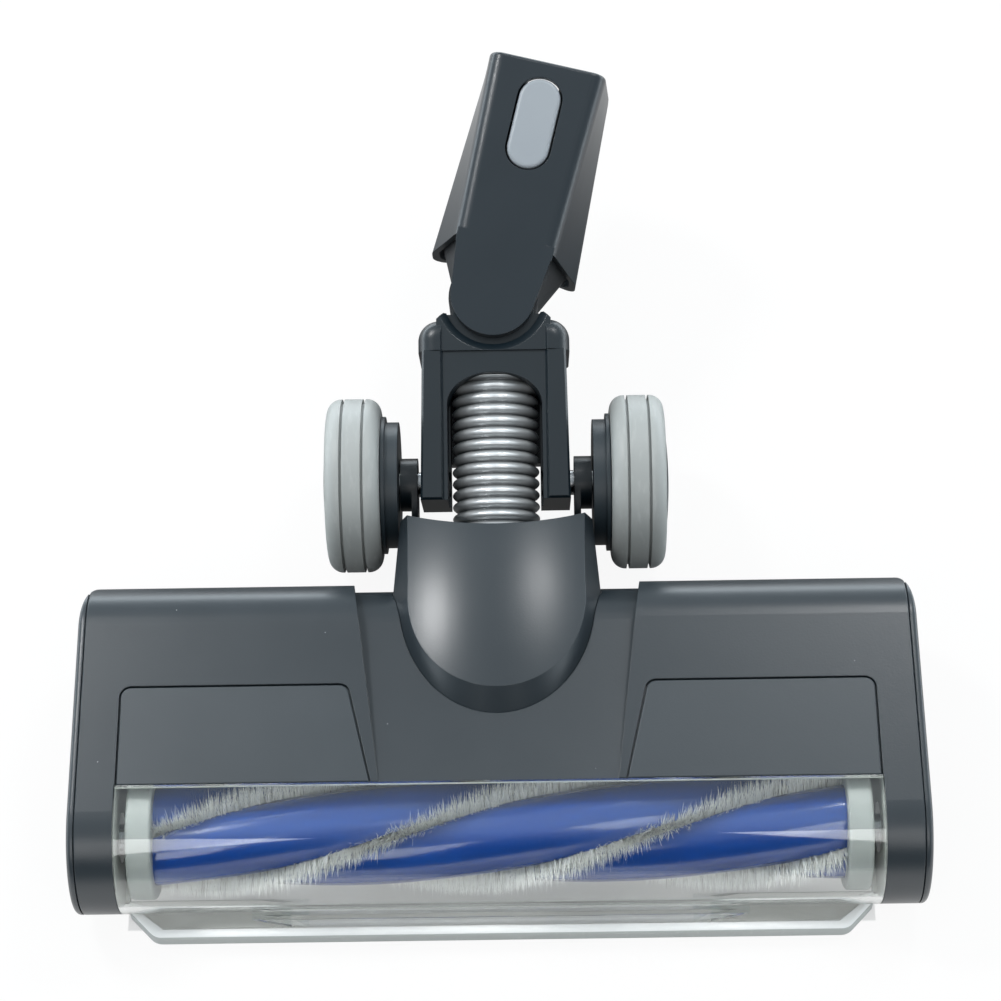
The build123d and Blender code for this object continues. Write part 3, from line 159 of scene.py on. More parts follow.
# %% Floor
FLOOR_HALF = 4.0
FLOOR_DROP = 0.3 * MM
FLOOR_GLOW = 0.92
MOUTH_HALF = (113 * MM, 22 * MM)
MOUTH_SHADE = 0.42
FLOOR_MIRRORED = 1.6
FLOOR_MIRRORED_NEAR = 0.12
FLOOR_NEAR = (0.10, 0.26)
NO_BOUNCE = 0.5  # a count of bounces below this is none

floor_mesh = bpy.data.meshes.new("studio_floor")
corners = [
    (x * FLOOR_HALF, y * FLOOR_HALF, -FLOOR_DROP) for x, y in ((-1, -1), (1, -1), (1, 1), (-1, 1))]
floor_mesh.from_pydata(corners, [], [(0, 1, 2, 3)])
floor = bpy.data.objects.new("studio_floor", floor_mesh)
bpy.context.scene.collection.objects.link(floor)


def straight_view(tree):
    """1 for a ray from the camera that met nothing yet or only passed through clear pieces."""
    rays = add_node(tree, "ShaderNodeLightPath").outputs
    bounces = add_node(
        tree, "ShaderNodeMath", {0: rays["Diffuse Depth"], 1: rays["Glossy Depth"]}, operation="ADD")
    straight = add_node(tree, "ShaderNodeMath", {0: bounces, 1: NO_BOUNCE}, operation="LESS_THAN")
    passed = add_node(
        tree, "ShaderNodeMath", {0: rays["Is Transmission Ray"], 1: straight}, operation="MULTIPLY")
    return add_node(
        tree, "ShaderNodeMath", {0: rays["Is Camera Ray"], 1: passed}, operation="MAXIMUM")


white_floor, tree, surface = new_material("white_paper_floor")
paper = add_node(tree, "ShaderNodeBsdfDiffuse", {"Color": linear("#E8E8E6")})
place_on = add_node(tree, "ShaderNodeTexCoord").outputs["Object"]
rays = add_node(tree, "ShaderNodeLightPath").outputs
mirrored = add_node(
    tree, "ShaderNodeMath",
    {0: rays["Is Glossy Ray"],
     1: add_node(
         tree, "ShaderNodeMath", {0: rays["Diffuse Depth"], 1: NO_BOUNCE}, operation="LESS_THAN")},
    operation="MULTIPLY")
in_view = add_node(
    tree, "ShaderNodeMath", {0: straight_view(tree), 1: mirrored}, operation="MAXIMUM")
away = add_node(tree, "ShaderNodeVectorMath", {0: place_on}, operation="LENGTH").outputs["Value"]
open_floor = add_node(
    tree, "ShaderNodeMapRange",
    {"Value": away, "From Min": FLOOR_NEAR[0], "From Max": FLOOR_NEAR[1],
     "To Min": FLOOR_MIRRORED_NEAR, "To Max": FLOOR_MIRRORED}, interpolation_type="SMOOTHSTEP")
white = add_node(
    tree, "ShaderNodeMix", {"Factor": mirrored, "A": 1.0, "B": open_floor}, data_type="FLOAT")
glow = add_node(
    tree, "ShaderNodeEmission", {"Color": linear("#FFFFFF"), "Strength": white.outputs[0]})
spot = add_node(
    tree, "ShaderNodeVectorMath", {0: place_on, 1: (0, brush_axis.y, 0)}, operation="SUBTRACT")
aside = add_node(tree, "ShaderNodeVectorMath", {0: spot}, operation="ABSOLUTE")
beside = add_node(tree, "ShaderNodeSeparateXYZ", {0: aside}).outputs
under_x = add_node(tree, "ShaderNodeMath", {0: beside["X"], 1: MOUTH_HALF[0]}, operation="LESS_THAN")
under_y = add_node(tree, "ShaderNodeMath", {0: beside["Y"], 1: MOUTH_HALF[1]}, operation="LESS_THAN")
under = add_node(tree, "ShaderNodeMath", {0: under_x, 1: under_y}, operation="MULTIPLY")
lit = add_node(
    tree, "ShaderNodeMath", {0: under, 1: -MOUTH_SHADE, 2: FLOOR_GLOW}, operation="MULTIPLY_ADD")
share = add_node(tree, "ShaderNodeMath", {0: in_view, 1: lit}, operation="MULTIPLY")
mixed = add_node(tree, "ShaderNodeMixShader", {0: share, 1: paper, 2: glow})
from_below = add_node(tree, "ShaderNodeNewGeometry").outputs["Backfacing"]
passing = add_node(tree, "ShaderNodeBsdfTransparent")
one_sided = add_node(tree, "ShaderNodeMixShader", {0: from_below, 1: mixed, 2: passing})
tree.links.new(one_sided.outputs[0], surface.inputs["Surface"])
floor_mesh.materials.append(white_floor)

# %% [markdown]
# ## The room that the plastic mirrors
# Dark glossy plastic shows mostly what it mirrors, so the world is painted as a studio: low bright
# walls behind and beside the head, a dimmer ceiling and a dim side where the photographer stands.
# That is why the flat tops look dark and the rounded edges bright. The room is slightly cool, as
# daylight is, and the camera itself sees plain white.

# %% A studio round the head
WALL_LIGHT = 8.5
WALL_TOP = 0.26
WALL_SPAN = (-0.75, 0.25)
WALL_IN_FRONT = 0.05
CEILING_LIGHT = 0.90
CEILING_SPAN = (-0.75, -0.15)
FRONT_LIGHT = 0.06
ROOM_TINT = "#E9F4FB"

world = bpy.data.worlds.new("white_studio")
bpy.context.scene.world = world
world.use_nodes = True
tree = world.node_tree
tree.nodes.clear()
looking = add_node(tree, "ShaderNodeTexCoord").outputs["Generated"]
way = add_node(tree, "ShaderNodeSeparateXYZ", {0: looking}).outputs
low = add_node(
    tree, "ShaderNodeMapRange",
    {"Value": way["Z"], "From Min": 0.0, "From Max": WALL_TOP, "To Min": 1.0, "To Max": 0.0},
    interpolation_type="SMOOTHSTEP")
behind = add_node(
    tree, "ShaderNodeMapRange",
    {"Value": way["Y"], "From Min": WALL_SPAN[0], "From Max": WALL_SPAN[1],
     "To Min": WALL_IN_FRONT, "To Max": 1.0}, interpolation_type="SMOOTHSTEP")
wall = add_node(tree, "ShaderNodeMath", {0: low, 1: behind}, operation="MULTIPLY")
ceiling = add_node(
    tree, "ShaderNodeMapRange",
    {"Value": way["Y"], "From Min": CEILING_SPAN[0], "From Max": CEILING_SPAN[1],
     "To Min": FRONT_LIGHT, "To Max": CEILING_LIGHT}, interpolation_type="SMOOTHSTEP")
room = add_node(
    tree, "ShaderNodeMath", {0: wall, 1: WALL_LIGHT, 2: ceiling}, operation="MULTIPLY_ADD")
seen = straight_view(tree)
strength = add_node(tree, "ShaderNodeMix", {"Factor": seen, "A": room, "B": 1.0}, data_type="FLOAT")
daylight = add_node(
    tree, "ShaderNodeMix", {"Factor": seen, "A": linear(ROOM_TINT), "B": linear("#FFFFFF")},
    data_type="RGBA")
sky = add_node(
    tree, "ShaderNodeBackground", {"Color": daylight.outputs[2], "Strength": strength.outputs[0]})
add_node(tree, "ShaderNodeOutputWorld", {"Surface": sky})

# %% [markdown]
# ## Soft lamps
# Two small boxes behind the head make the two soft streaks on the hood, the left one brighter. Two
# tall ones beside the camera lift the fronts. Each is aimed at the middle of the head.

# %% Soft lamps
LAMPS = (
    # name, place, width, height and power: boxes behind the head, and tall ones beside the camera
    ("left_soft_box", (-0.48, 0.335, 0.83), 0.17, 0.17, 4.2),
    ("right_soft_box", (0.31, 0.42, 0.87), 0.19, 0.19, 2.1),
    ("front_left_soft_box", (-0.33, -0.72, 0.80), 0.26, 0.50, 1.6),
    ("front_right_soft_box", (0.33, -0.72, 0.80), 0.26, 0.50, 1.6),
)
for name, spot, width, height, power in LAMPS:
    lamp = bpy.data.objects.new(name, bpy.data.lights.new(name, "AREA"))
    lamp.data.shape = "RECTANGLE"
    lamp.data.size = width
    lamp.data.size_y = height
    lamp.data.energy = power
    lamp.location = spot
    lamp.rotation_euler = (-Vector(spot)).to_track_quat("-Z", "Y").to_euler()
    bpy.context.scene.collection.objects.link(lamp)
print("lamps:", [lamp[0] for lamp in LAMPS])

# %% [markdown]
# ## Moulded plastics
# Nearly every visible piece is injection moulded. The mould's walls are etched with a fine grain,
# which the eye sees as a soft, slightly sparkling highlight, and the melt leaves faint clouds. The
# edges of a moulding are never knife sharp, so a Bevel node rounds the shading there, and each edge
# catches a thin line of light. One function makes this family, and each plastic gets its own
# colour, grain and gloss. The clouds change the gloss only a little: a roughness that swings across
# about 0.27 makes the render's noise filter draw blots. The brush chamber is lined in a pale grey,
# and the mask for it is the distance from the brush's axis.

# %% Moulded plastic finishes
CLOUD_MM = 24
CLOUD_GLOSS = (-0.02, 0.04)
DUST_CELL_MM = 11
DUST_GREY = "#C4C7C8"
CHAMBER_RADIUS = 22.0 * MM
CHAMBER_HALF = 113.4 * MM
CHAMBER_GREY = "#D6DAD4"


def in_chamber(tree, where):
    """A socket that is 1 inside the brush chamber and 0 outside it."""
    offset = add_node(
        tree, "ShaderNodeVectorMath", {0: where, 1: (0, brush_axis.y, brush_axis.z)},
        operation="SUBTRACT")
    round_axis = add_node(
        tree, "ShaderNodeVectorMath", {0: offset, 1: (0, 1, 1)}, operation="MULTIPLY")
    away = add_node(tree, "ShaderNodeVectorMath", {0: round_axis}, operation="LENGTH")
    near = add_node(
        tree, "ShaderNodeMath", {0: away.outputs["Value"], 1: CHAMBER_RADIUS}, operation="LESS_THAN")
    aside = add_node(
        tree, "ShaderNodeMath", {0: add_node(tree, "ShaderNodeSeparateXYZ", {0: where}).outputs["X"]},
        operation="ABSOLUTE")
    between = add_node(tree, "ShaderNodeMath", {0: aside, 1: CHAMBER_HALF}, operation="LESS_THAN")
    return add_node(tree, "ShaderNodeMath", {0: near, 1: between}, operation="MULTIPLY")


def moulded(name, colour, cloud, roughness, grain_mm, depth_mm, dust=0.0, ior=1.52, edge_mm=0.35,
            lined=False):
    """Grained, moulded plastic with faint clouds and, where dust is above 0, a few pale specks."""
    material, tree, surface = new_material(name)
    where = add_node(tree, "ShaderNodeTexCoord").outputs["Object"]
    grain = add_node(
        tree, "ShaderNodeTexNoise",
        {"Vector": where, "Scale": 1 / (grain_mm * MM), "Detail": 2.0, "Roughness": 0.55})
    edges = add_node(tree, "ShaderNodeBevel", {"Radius": edge_mm * MM}, samples=4)
    relief = add_node(
        tree, "ShaderNodeBump",
        {"Height": grain, "Strength": 1.0, "Distance": depth_mm * MM, "Normal": edges})
    clouds = add_node(
        tree, "ShaderNodeTexNoise",
        {"Vector": where, "Scale": 1 / (CLOUD_MM * MM), "Detail": 3.0, "Roughness": 0.6})
    tone = add_node(
        tree, "ShaderNodeMix",
        {"Factor": clouds, "A": linear(colour), "B": linear(cloud)}, data_type="RGBA")
    tone = tone.outputs[2]
    if dust:
        cells = add_node(
            tree, "ShaderNodeTexVoronoi", {"Vector": where, "Scale": 1 / (DUST_CELL_MM * MM)})
        speck = add_node(
            tree, "ShaderNodeMath", {0: cells.outputs["Distance"], 1: dust}, operation="LESS_THAN")
        tone = add_node(
            tree, "ShaderNodeMix", {"Factor": speck, "A": tone, "B": linear(DUST_GREY)},
            data_type="RGBA").outputs[2]
    if lined:
        tone = add_node(
            tree, "ShaderNodeMix",
            {"Factor": in_chamber(tree, where), "A": tone, "B": linear(CHAMBER_GREY)},
            data_type="RGBA").outputs[2]
    gloss = add_node(
        tree, "ShaderNodeMapRange",
        {"Value": clouds, "To Min": roughness + CLOUD_GLOSS[0], "To Max": roughness + CLOUD_GLOSS[1]})
    shader = add_node(
        tree, "ShaderNodeBsdfPrincipled",
        {"Base Color": tone, "Roughness": gloss, "IOR": ior, "Normal": relief})
    tree.links.new(shader.outputs[0], surface.inputs["Surface"])
    return material


finishes = {
    "housing": moulded(
        "charcoal_abs_etched", "#262D32", "#2B3237", 0.30, 0.70, 0.018, dust=0.011, lined=True),
    "panel": moulded("charcoal_abs_matt_panel", "#2E353A", "#333A3F", 0.34, 0.70, 0.016, dust=0.011),
    "base": moulded("dark_abs_sole", "#35383B", "#3A3D40", 0.50, 0.60, 0.030, lined=True),
    "neck_plastic": moulded("filled_nylon_neck", "#08151C", "#0C1920", 0.34, 0.40, 0.010, ior=1.53),
    "socket_plastic": moulded("charcoal_abs_socket", "#0B1820", "#101D25", 0.32, 0.45, 0.010),
    "core_plastic": moulded("grey_abs_swivel", "#26292C", "#2B2E31", 0.42, 0.50, 0.014),
    "hub_plastic": moulded("dark_abs_wheel", "#1D272D", "#232D33", 0.40, 0.45, 0.012),
    "inner_plastic": moulded(
        "black_polypropylene", "#1E2022", "#26282A", 0.50, 0.60, 0.020, ior=1.49),
    "pale_plastic": moulded("pale_acetal", "#8E9391", "#999E9B", 0.38, 0.50, 0.010, ior=1.48),
    "button_grey": moulded("grey_abs_button", "#8F959B", "#969CA1", 0.34, 0.35, 0.008),
}
print("plastics:", sorted(finishes))

# %% [markdown]
# ## Gloss blue roller
# The roller's core is polished in the mould, so it mirrors the lamps sharply. Long faint streaks
# run with the twist where the melt flowed; a stretched noise gives them.

# %% Blue roller
STREAK_MM = 6
STREAK_STRETCH = (0.12, 1.0, 1.0)
material, tree, surface = new_material("gloss_blue_abs_roller")
where = add_node(tree, "ShaderNodeTexCoord").outputs["Object"]
along = add_node(tree, "ShaderNodeMapping", {"Vector": where, "Scale": STREAK_STRETCH})
streaks = add_node(
    tree, "ShaderNodeTexNoise", {"Vector": along, "Scale": 1 / (STREAK_MM * MM), "Detail": 3.0})
tone = add_node(
    tree, "ShaderNodeMix",
    {"Factor": streaks, "A": linear("#042C70"), "B": linear("#0C428E")}, data_type="RGBA")
gloss = add_node(tree, "ShaderNodeMapRange", {"Value": streaks, "To Min": 0.10, "To Max": 0.22})
shader = add_node(
    tree, "ShaderNodeBsdfPrincipled",
    {"Base Color": tone.outputs[2], "Roughness": gloss, "IOR": 1.53, "Coat Weight": 0.4,
     "Coat Roughness": 0.06})
tree.links.new(shader.outputs[0], surface.inputs["Surface"])
finishes["roller_blue"] = material

# %% [markdown]
# ## Clear window
# The window over the brush is clear polycarbonate. It bends and mirrors light, and lamps have to
# reach the brush through it, so a shadow ray passes as through a plain clear sheet.

# %% Clear polycarbonate
WAVE_MM = 14
material, tree, surface = new_material("clear_polycarbonate_window")
where = add_node(tree, "ShaderNodeTexCoord").outputs["Object"]
waves = add_node(
    tree, "ShaderNodeTexNoise", {"Vector": where, "Scale": 1 / (WAVE_MM * MM), "Detail": 1.0})
relief = add_node(tree, "ShaderNodeBump", {"Height": waves, "Strength": 0.5, "Distance": 0.02 * MM})
clear = add_node(
    tree, "ShaderNodeBsdfPrincipled",
    {"Base Color": linear("#F6F9F8"), "Roughness": 0.03, "IOR": 1.5, "Transmission Weight": 1.0,
     "Normal": relief})
passing = add_node(tree, "ShaderNodeBsdfTransparent", {"Color": linear("#FFFFFF")})
shadow = add_node(tree, "ShaderNodeLightPath").outputs["Is Shadow Ray"]
mixed = add_node(tree, "ShaderNodeMixShader", {0: shadow, 1: clear, 2: passing})
tree.links.new(mixed.outputs[0], surface.inputs["Surface"])
finishes["clear_window"] = material

# %% [markdown]
# ## Soft rubbers
# The tyres, the bumper and the hose are soft rubber-like mouldings: little gloss, and a fine
# powdery surface with small scuffs. A scuff is a long thin patch that lost its bloom, so a second,
# stretched noise lightens the colour a little. The hose has silver pigment in it, so its ribs flash
# where they face the light and are dark where they don't: it gets a share of a metal's shine. Its
# valleys get a painted shade, a dark colour mixed in by the rib's height. The top of the bumper,
# under the window's clear sill, gets painted light: above a set height its colour turns paler.

# %% Rubber finishes
SCUFF_MM = 1.6
SCUFF_STRETCH = (1.0, 0.2, 0.35)
SCUFF_GLOSS = 0.06
PAINTED_LIGHT_RUBBER = "#F3F4F2"


def soft_rubber(name, colour, scuff, roughness, grain_mm, depth_mm, scuff_share, valley_shade=None,
                silver=0.0, painted_light_above_mm=None):
    """Thermoplastic rubber with a powdery surface and paler scuffs; on ribs a painted shade in the
    valleys, and painted light above a set height.
    """
    material, tree, surface = new_material(name)
    where = add_node(tree, "ShaderNodeTexCoord").outputs["Object"]
    grain = add_node(
        tree, "ShaderNodeTexNoise", {"Vector": where, "Scale": 1 / (grain_mm * MM), "Detail": 2.0})
    relief = add_node(
        tree, "ShaderNodeBump", {"Height": grain, "Strength": 1.0, "Distance": depth_mm * MM})
    drawn = add_node(tree, "ShaderNodeMapping", {"Vector": where, "Scale": SCUFF_STRETCH})
    marks = add_node(
        tree, "ShaderNodeTexNoise", {"Vector": drawn, "Scale": 1 / (SCUFF_MM * MM), "Detail": 3.0})
    worn = add_node(
        tree, "ShaderNodeMapRange",
        {"Value": marks, "From Min": 1 - scuff_share, "From Max": 1.0, "To Min": 0.0, "To Max": 1.0})
    tone = add_node(
        tree, "ShaderNodeMix", {"Factor": worn, "A": linear(colour), "B": linear(scuff)},
        data_type="RGBA").outputs[2]
    # Painted shade: the valleys between the ribs are darkened by the rib's height.
    if valley_shade:
        rise = add_node(tree, "ShaderNodeAttribute", attribute_name="rib_rise").outputs["Fac"]
        tone = add_node(
            tree, "ShaderNodeMix", {"Factor": rise, "A": linear(valley_shade), "B": tone},
            data_type="RGBA").outputs[2]
    # Painted light: above this height the colour turns paler, as if more light reached the top.
    if painted_light_above_mm:
        rise = add_node(tree, "ShaderNodeSeparateXYZ", {0: where}).outputs["Z"]
        painted_light = add_node(
            tree, "ShaderNodeMath", {0: rise, 1: painted_light_above_mm * MM}, operation="GREATER_THAN")
        tone = add_node(
            tree, "ShaderNodeMix", {"Factor": painted_light, "A": tone, "B": linear(PAINTED_LIGHT_RUBBER)},
            data_type="RGBA").outputs[2]
    gloss = add_node(
        tree, "ShaderNodeMapRange",
        {"Value": marks, "To Min": roughness - SCUFF_GLOSS, "To Max": roughness + SCUFF_GLOSS})
    shader = add_node(
        tree, "ShaderNodeBsdfPrincipled",
        {"Base Color": tone, "Roughness": gloss, "IOR": 1.5, "Metallic": silver, "Normal": relief})
    tree.links.new(shader.outputs[0], surface.inputs["Surface"])
    return material


finishes["tyre_grey"] = soft_rubber("grey_rubber_tyre", "#9C9F9D", "#B1B3B1", 0.46, 0.5, 0.010, 0.45)
finishes["grey_bumper"] = soft_rubber(
    "pale_rubber_bumper", "#B2B5B3", "#C4C6C4", 0.50, 0.5, 0.010, 0.4, painted_light_above_mm=6.4)
finishes["hose_rubber"] = soft_rubber(
    "silver_rubber_hose", "#E4E7E8", "#E9EBEC", 0.34, 0.5, 0.002, 0.4, valley_shade="#2E3133", silver=0.6)
finishes["belt_rubber"] = soft_rubber(
    "black_rubber_belt", "#161718", "#2A2B2C", 0.60, 0.4, 0.010, 0.4)

# %% [markdown]
# ## Metals
# Shafts, pins and bearings are ground steel, with fine marks round the axis. The screws and the
# motor can are zinc plated: paler, a little cloudy. The pinion and the contacts are brass.

# %% Metal finishes


def metal(name, colour, cloud, roughness, stretch, mark_mm):
    """Bare or plated metal with fine machining marks, drawn out by stretch."""
    material, tree, surface = new_material(name)
    where = add_node(tree, "ShaderNodeTexCoord").outputs["Object"]
    drawn = add_node(tree, "ShaderNodeMapping", {"Vector": where, "Scale": stretch})
    marks = add_node(
        tree, "ShaderNodeTexNoise", {"Vector": drawn, "Scale": 1 / (mark_mm * MM), "Detail": 2.0})
    relief = add_node(
        tree, "ShaderNodeBump", {"Height": marks, "Strength": 0.6, "Distance": 0.01 * MM})
    tone = add_node(
        tree, "ShaderNodeMix", {"Factor": marks, "A": linear(colour), "B": linear(cloud)},
        data_type="RGBA")
    gloss = add_node(
        tree, "ShaderNodeMapRange",
        {"Value": marks, "To Min": roughness - 0.06, "To Max": roughness + 0.08})
    shader = add_node(
        tree, "ShaderNodeBsdfPrincipled",
        {"Base Color": tone.outputs[2], "Metallic": 1.0, "Roughness": gloss, "Normal": relief})
    tree.links.new(shader.outputs[0], surface.inputs["Surface"])
    return material


finishes["axle_steel"] = metal("ground_steel", "#B4B5B7", "#C6C7C8", 0.26, (6.0, 1.0, 1.0), 0.6)
finishes["bearing_steel"] = metal("bearing_steel", "#BFC0C1", "#CFCFCF", 0.22, (4.0, 1.0, 1.0), 0.5)
finishes["screw_steel"] = metal("zinc_plated_screw", "#8E9092", "#A3A4A5", 0.34, (1.0, 1.0, 1.0), 0.5)
finishes["motor_steel"] = metal("zinc_plated_can", "#A0A2A4", "#B2B3B4", 0.38, (0.3, 1.0, 1.0), 1.5)
finishes["brass_pinion"] = metal("turned_brass", "#C9A25A", "#D8B56E", 0.28, (5.0, 1.0, 1.0), 0.5)
finishes["contact_brass"] = metal("plated_contact", "#D8C088", "#E2CE9C", 0.22, (1.0, 1.0, 1.0), 0.4)

# %% [markdown]
# ## Dress the CAD pieces
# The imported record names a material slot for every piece, so one loop gives each its finish.

# %% Finish by material slot
slot_of = {row["node"]: row["material_slot"] for row in frame["record"]["subparts"]}
for name, piece in nodes.items():
    for material_slot in piece.material_slots:
        material_slot.material = finishes.get(slot_of[name], finishes["inner_plastic"])
print("pieces dressed:", len(nodes))

# %% [markdown]
# ## Strands: bristles and pile
# The roller carries three twisted strips of nylon bristles, and the sole a strip of short pile.
# Both are thousands of strands in a long, narrow bed. Geometry Nodes scatters points on a flat bed,
# stands a thin cone on each, and then winds the whole bed round the roller's axis, so the strands
# fan out and follow the twist. Cones of three faces keep tens of thousands of them light. Real
# bristles are about 0.1 mm thick; these are drawn thicker, so that they show.

# %% A tree of strands, wound round an axis
SHORTEST_STRAND = 0.82


def new_tree(name, labels):
    """A Geometry Nodes tree with these named inputs, and its input and output nodes."""
    tree = bpy.data.node_groups.new(name, "GeometryNodeTree")
    tree.interface.new_socket("Mesh", in_out="OUTPUT", socket_type="NodeSocketGeometry")
    for label, kind in labels.items():
        tree.interface.new_socket(label, in_out="INPUT", socket_type="NodeSocket" + kind)
    return tree, add_node(tree, "NodeGroupInput").outputs, add_node(tree, "NodeGroupOutput")


def grow(tree, name, sizes):
    """Runs a tree with these sizes and places, and returns the plain mesh that it makes."""
    bed = bpy.data.objects.new(name, bpy.data.meshes.new(name))
    bed.data.from_pydata(sizes.get("Places", ()), [], [])
    bpy.context.scene.collection.objects.link(bed)
    modifier = bed.modifiers.new("tree", "NODES")
    modifier.node_group = tree
    for socket in tree.interface.items_tree:
        if socket.in_out == "INPUT" and socket.name != "Places":
            modifier[socket.identifier] = sizes[socket.name]
    evaluated = bed.evaluated_get(bpy.context.evaluated_depsgraph_get())
    plain = bpy.data.meshes.new_from_object(evaluated)
    bed.modifiers.remove(modifier)
    bpy.data.objects.remove(bed)
    plain.name = name
    return plain


strand_tree, given, result = new_tree("strands_round_axis", {
    "Length": "Float", "Width": "Float", "Root": "Float", "Tip": "Float", "Density": "Float",
    "Thickness": "Float", "Lean": "Float", "Fan": "Float", "Tuft": "Float", "Twist": "Float",
    "Phase": "Float", "Strips": "Int", "Seed": "Int", "Material": "Material"})
tree = strand_tree
bed = add_node(tree, "GeometryNodeMeshGrid", {
    "Size X": given["Length"], "Size Y": given["Width"], "Vertices X": 2, "Vertices Y": 2})
points = add_node(tree, "GeometryNodeDistributePointsOnFaces", {
    "Mesh": bed.outputs["Mesh"], "Density": given["Density"], "Seed": given["Seed"]})
reach = add_node(tree, "ShaderNodeMath", {0: given["Tip"], 1: given["Root"]}, operation="SUBTRACT")
strand = add_node(tree, "GeometryNodeMeshCone", {
    "Vertices": 3, "Radius Top": 0.0, "Radius Bottom": given["Thickness"], "Depth": reach},
    fill_type="NONE")
lean_back = add_node(tree, "ShaderNodeMath", {0: given["Lean"], 1: -1.0}, operation="MULTIPLY")
least = add_node(tree, "ShaderNodeCombineXYZ", {"X": lean_back, "Y": lean_back, "Z": -math.pi})
most = add_node(tree, "ShaderNodeCombineXYZ", {"X": given["Lean"], "Y": given["Lean"], "Z": math.pi})
lean = add_node(tree, "FunctionNodeRandomValue", {
    "Min": least, "Max": most, "Seed": given["Seed"]}, data_type="FLOAT_VECTOR")
turned = add_node(tree, "FunctionNodeEulerToRotation", {"Euler": lean.outputs[0]})
tall = add_node(tree, "FunctionNodeRandomValue", {
    2: SHORTEST_STRAND, 3: 1.0, "Seed": 7}, data_type="FLOAT")
stood = add_node(tree, "GeometryNodeInstanceOnPoints", {
    "Points": points.outputs["Points"], "Instance": strand.outputs["Mesh"],
    "Rotation": turned, "Scale": tall.outputs[1]})
shade = add_node(tree, "FunctionNodeRandomValue", {2: 0.0, 3: 1.0, "Seed": 3}, data_type="FLOAT")
shaded = add_node(tree, "GeometryNodeStoreNamedAttribute", {
    "Geometry": stood, "Name": "strand_shade", "Value": shade.outputs[1]},
    data_type="FLOAT", domain="INSTANCE")
strands = add_node(tree, "GeometryNodeRealizeInstances", {"Geometry": shaded})
print("strand tree nodes:", len(tree.nodes))

# %% [markdown]
# ## Wind the bed
# A point's place along the bed sets its angle round the axis, and its height sets its radius. A sine
# wave along the bed draws the strands together in tufts, and the wound strip is then repeated.

# %% Wind the bed round the axis, draw the strands together in tufts and repeat for each strip
TUFT_PULL = 0.7
position = add_node(tree, "GeometryNodeInputPosition")
flat = add_node(tree, "ShaderNodeSeparateXYZ", {0: position}).outputs
height = add_node(tree, "ShaderNodeMath", {0: flat["Z"], 1: reach}, operation="DIVIDE")
rooted = add_node(tree, "GeometryNodeStoreNamedAttribute", {
    "Geometry": strands, "Name": "strand_height", "Value": height},
    data_type="FLOAT", domain="POINT")
spread = add_node(
    tree, "ShaderNodeMath", {0: height, 1: given["Fan"], 2: 1.0}, operation="MULTIPLY_ADD")
across = add_node(tree, "ShaderNodeMath", {0: flat["Y"], 1: spread}, operation="MULTIPLY")
radius = add_node(tree, "ShaderNodeMath", {0: flat["Z"], 1: given["Root"]}, operation="ADD")
share = add_node(tree, "ShaderNodeMath", {0: flat["X"], 1: given["Length"]}, operation="DIVIDE")
from_left = add_node(tree, "ShaderNodeMath", {0: share, 1: 0.5}, operation="ADD")
angle = add_node(
    tree, "ShaderNodeMath", {0: from_left, 1: given["Twist"], 2: given["Phase"]},
    operation="MULTIPLY_ADD")
cosine = add_node(tree, "ShaderNodeMath", {0: angle}, operation="COSINE")
sine = add_node(tree, "ShaderNodeMath", {0: angle}, operation="SINE")
out_y = add_node(tree, "ShaderNodeMath", {0: radius, 1: cosine}, operation="MULTIPLY")
back_y = add_node(tree, "ShaderNodeMath", {0: across, 1: sine}, operation="MULTIPLY")
wound_y = add_node(tree, "ShaderNodeMath", {0: out_y, 1: back_y}, operation="SUBTRACT")
out_z = add_node(tree, "ShaderNodeMath", {0: radius, 1: sine}, operation="MULTIPLY")
wound_z = add_node(
    tree, "ShaderNodeMath", {0: across, 1: cosine, 2: out_z}, operation="MULTIPLY_ADD")
tufts = add_node(tree, "ShaderNodeMath", {0: flat["X"], 1: given["Tuft"]}, operation="DIVIDE")
tuft_turn = add_node(tree, "ShaderNodeMath", {0: tufts, 1: 2 * math.pi}, operation="MULTIPLY")
tuft_wave = add_node(tree, "ShaderNodeMath", {0: tuft_turn}, operation="SINE")
tuft_pull = add_node(
    tree, "ShaderNodeMath", {0: given["Tuft"], 1: -TUFT_PULL / (2 * math.pi)}, operation="MULTIPLY")
tufted_x = add_node(
    tree, "ShaderNodeMath", {0: tuft_wave, 1: tuft_pull, 2: flat["X"]}, operation="MULTIPLY_ADD")
wound_place = add_node(tree, "ShaderNodeCombineXYZ", {"X": tufted_x, "Y": wound_y, "Z": wound_z})
wound = add_node(tree, "GeometryNodeSetPosition", {"Geometry": rooted, "Position": wound_place})
starts = add_node(tree, "GeometryNodeMeshLine", {
    "Count": given["Strips"], "Start Location": (0, 0, 0), "Offset": (0, 0, 0)})
third = add_node(
    tree, "ShaderNodeMath", {0: 2 * math.pi, 1: given["Strips"]}, operation="DIVIDE")
turn = add_node(
    tree, "ShaderNodeMath", {0: add_node(tree, "GeometryNodeInputIndex"), 1: third},
    operation="MULTIPLY")
round_axis = add_node(tree, "FunctionNodeEulerToRotation", {
    "Euler": add_node(tree, "ShaderNodeCombineXYZ", {"X": turn})})
repeated = add_node(tree, "GeometryNodeInstanceOnPoints", {
    "Points": starts, "Instance": wound, "Rotation": round_axis})
whole = add_node(tree, "GeometryNodeRealizeInstances", {"Geometry": repeated})
finished = add_node(tree, "GeometryNodeSetMaterial", {
    "Geometry": whole, "Material": given["Material"]})
tree.links.new(finished.outputs[0], result.inputs[0])

# %% [markdown]
# ## Nylon bristles
# The bristles are clear nylon, so they look white at the tips. Towards the root they get a painted
# shade, where the strands stand close together, mixed with the dust that they hold. A few are
# brownish. Each strand carries its own random tone and its height as attributes, and the finish
# mixes its colours by them.

# %% Bristle finish
TIP_POWER = 0.7


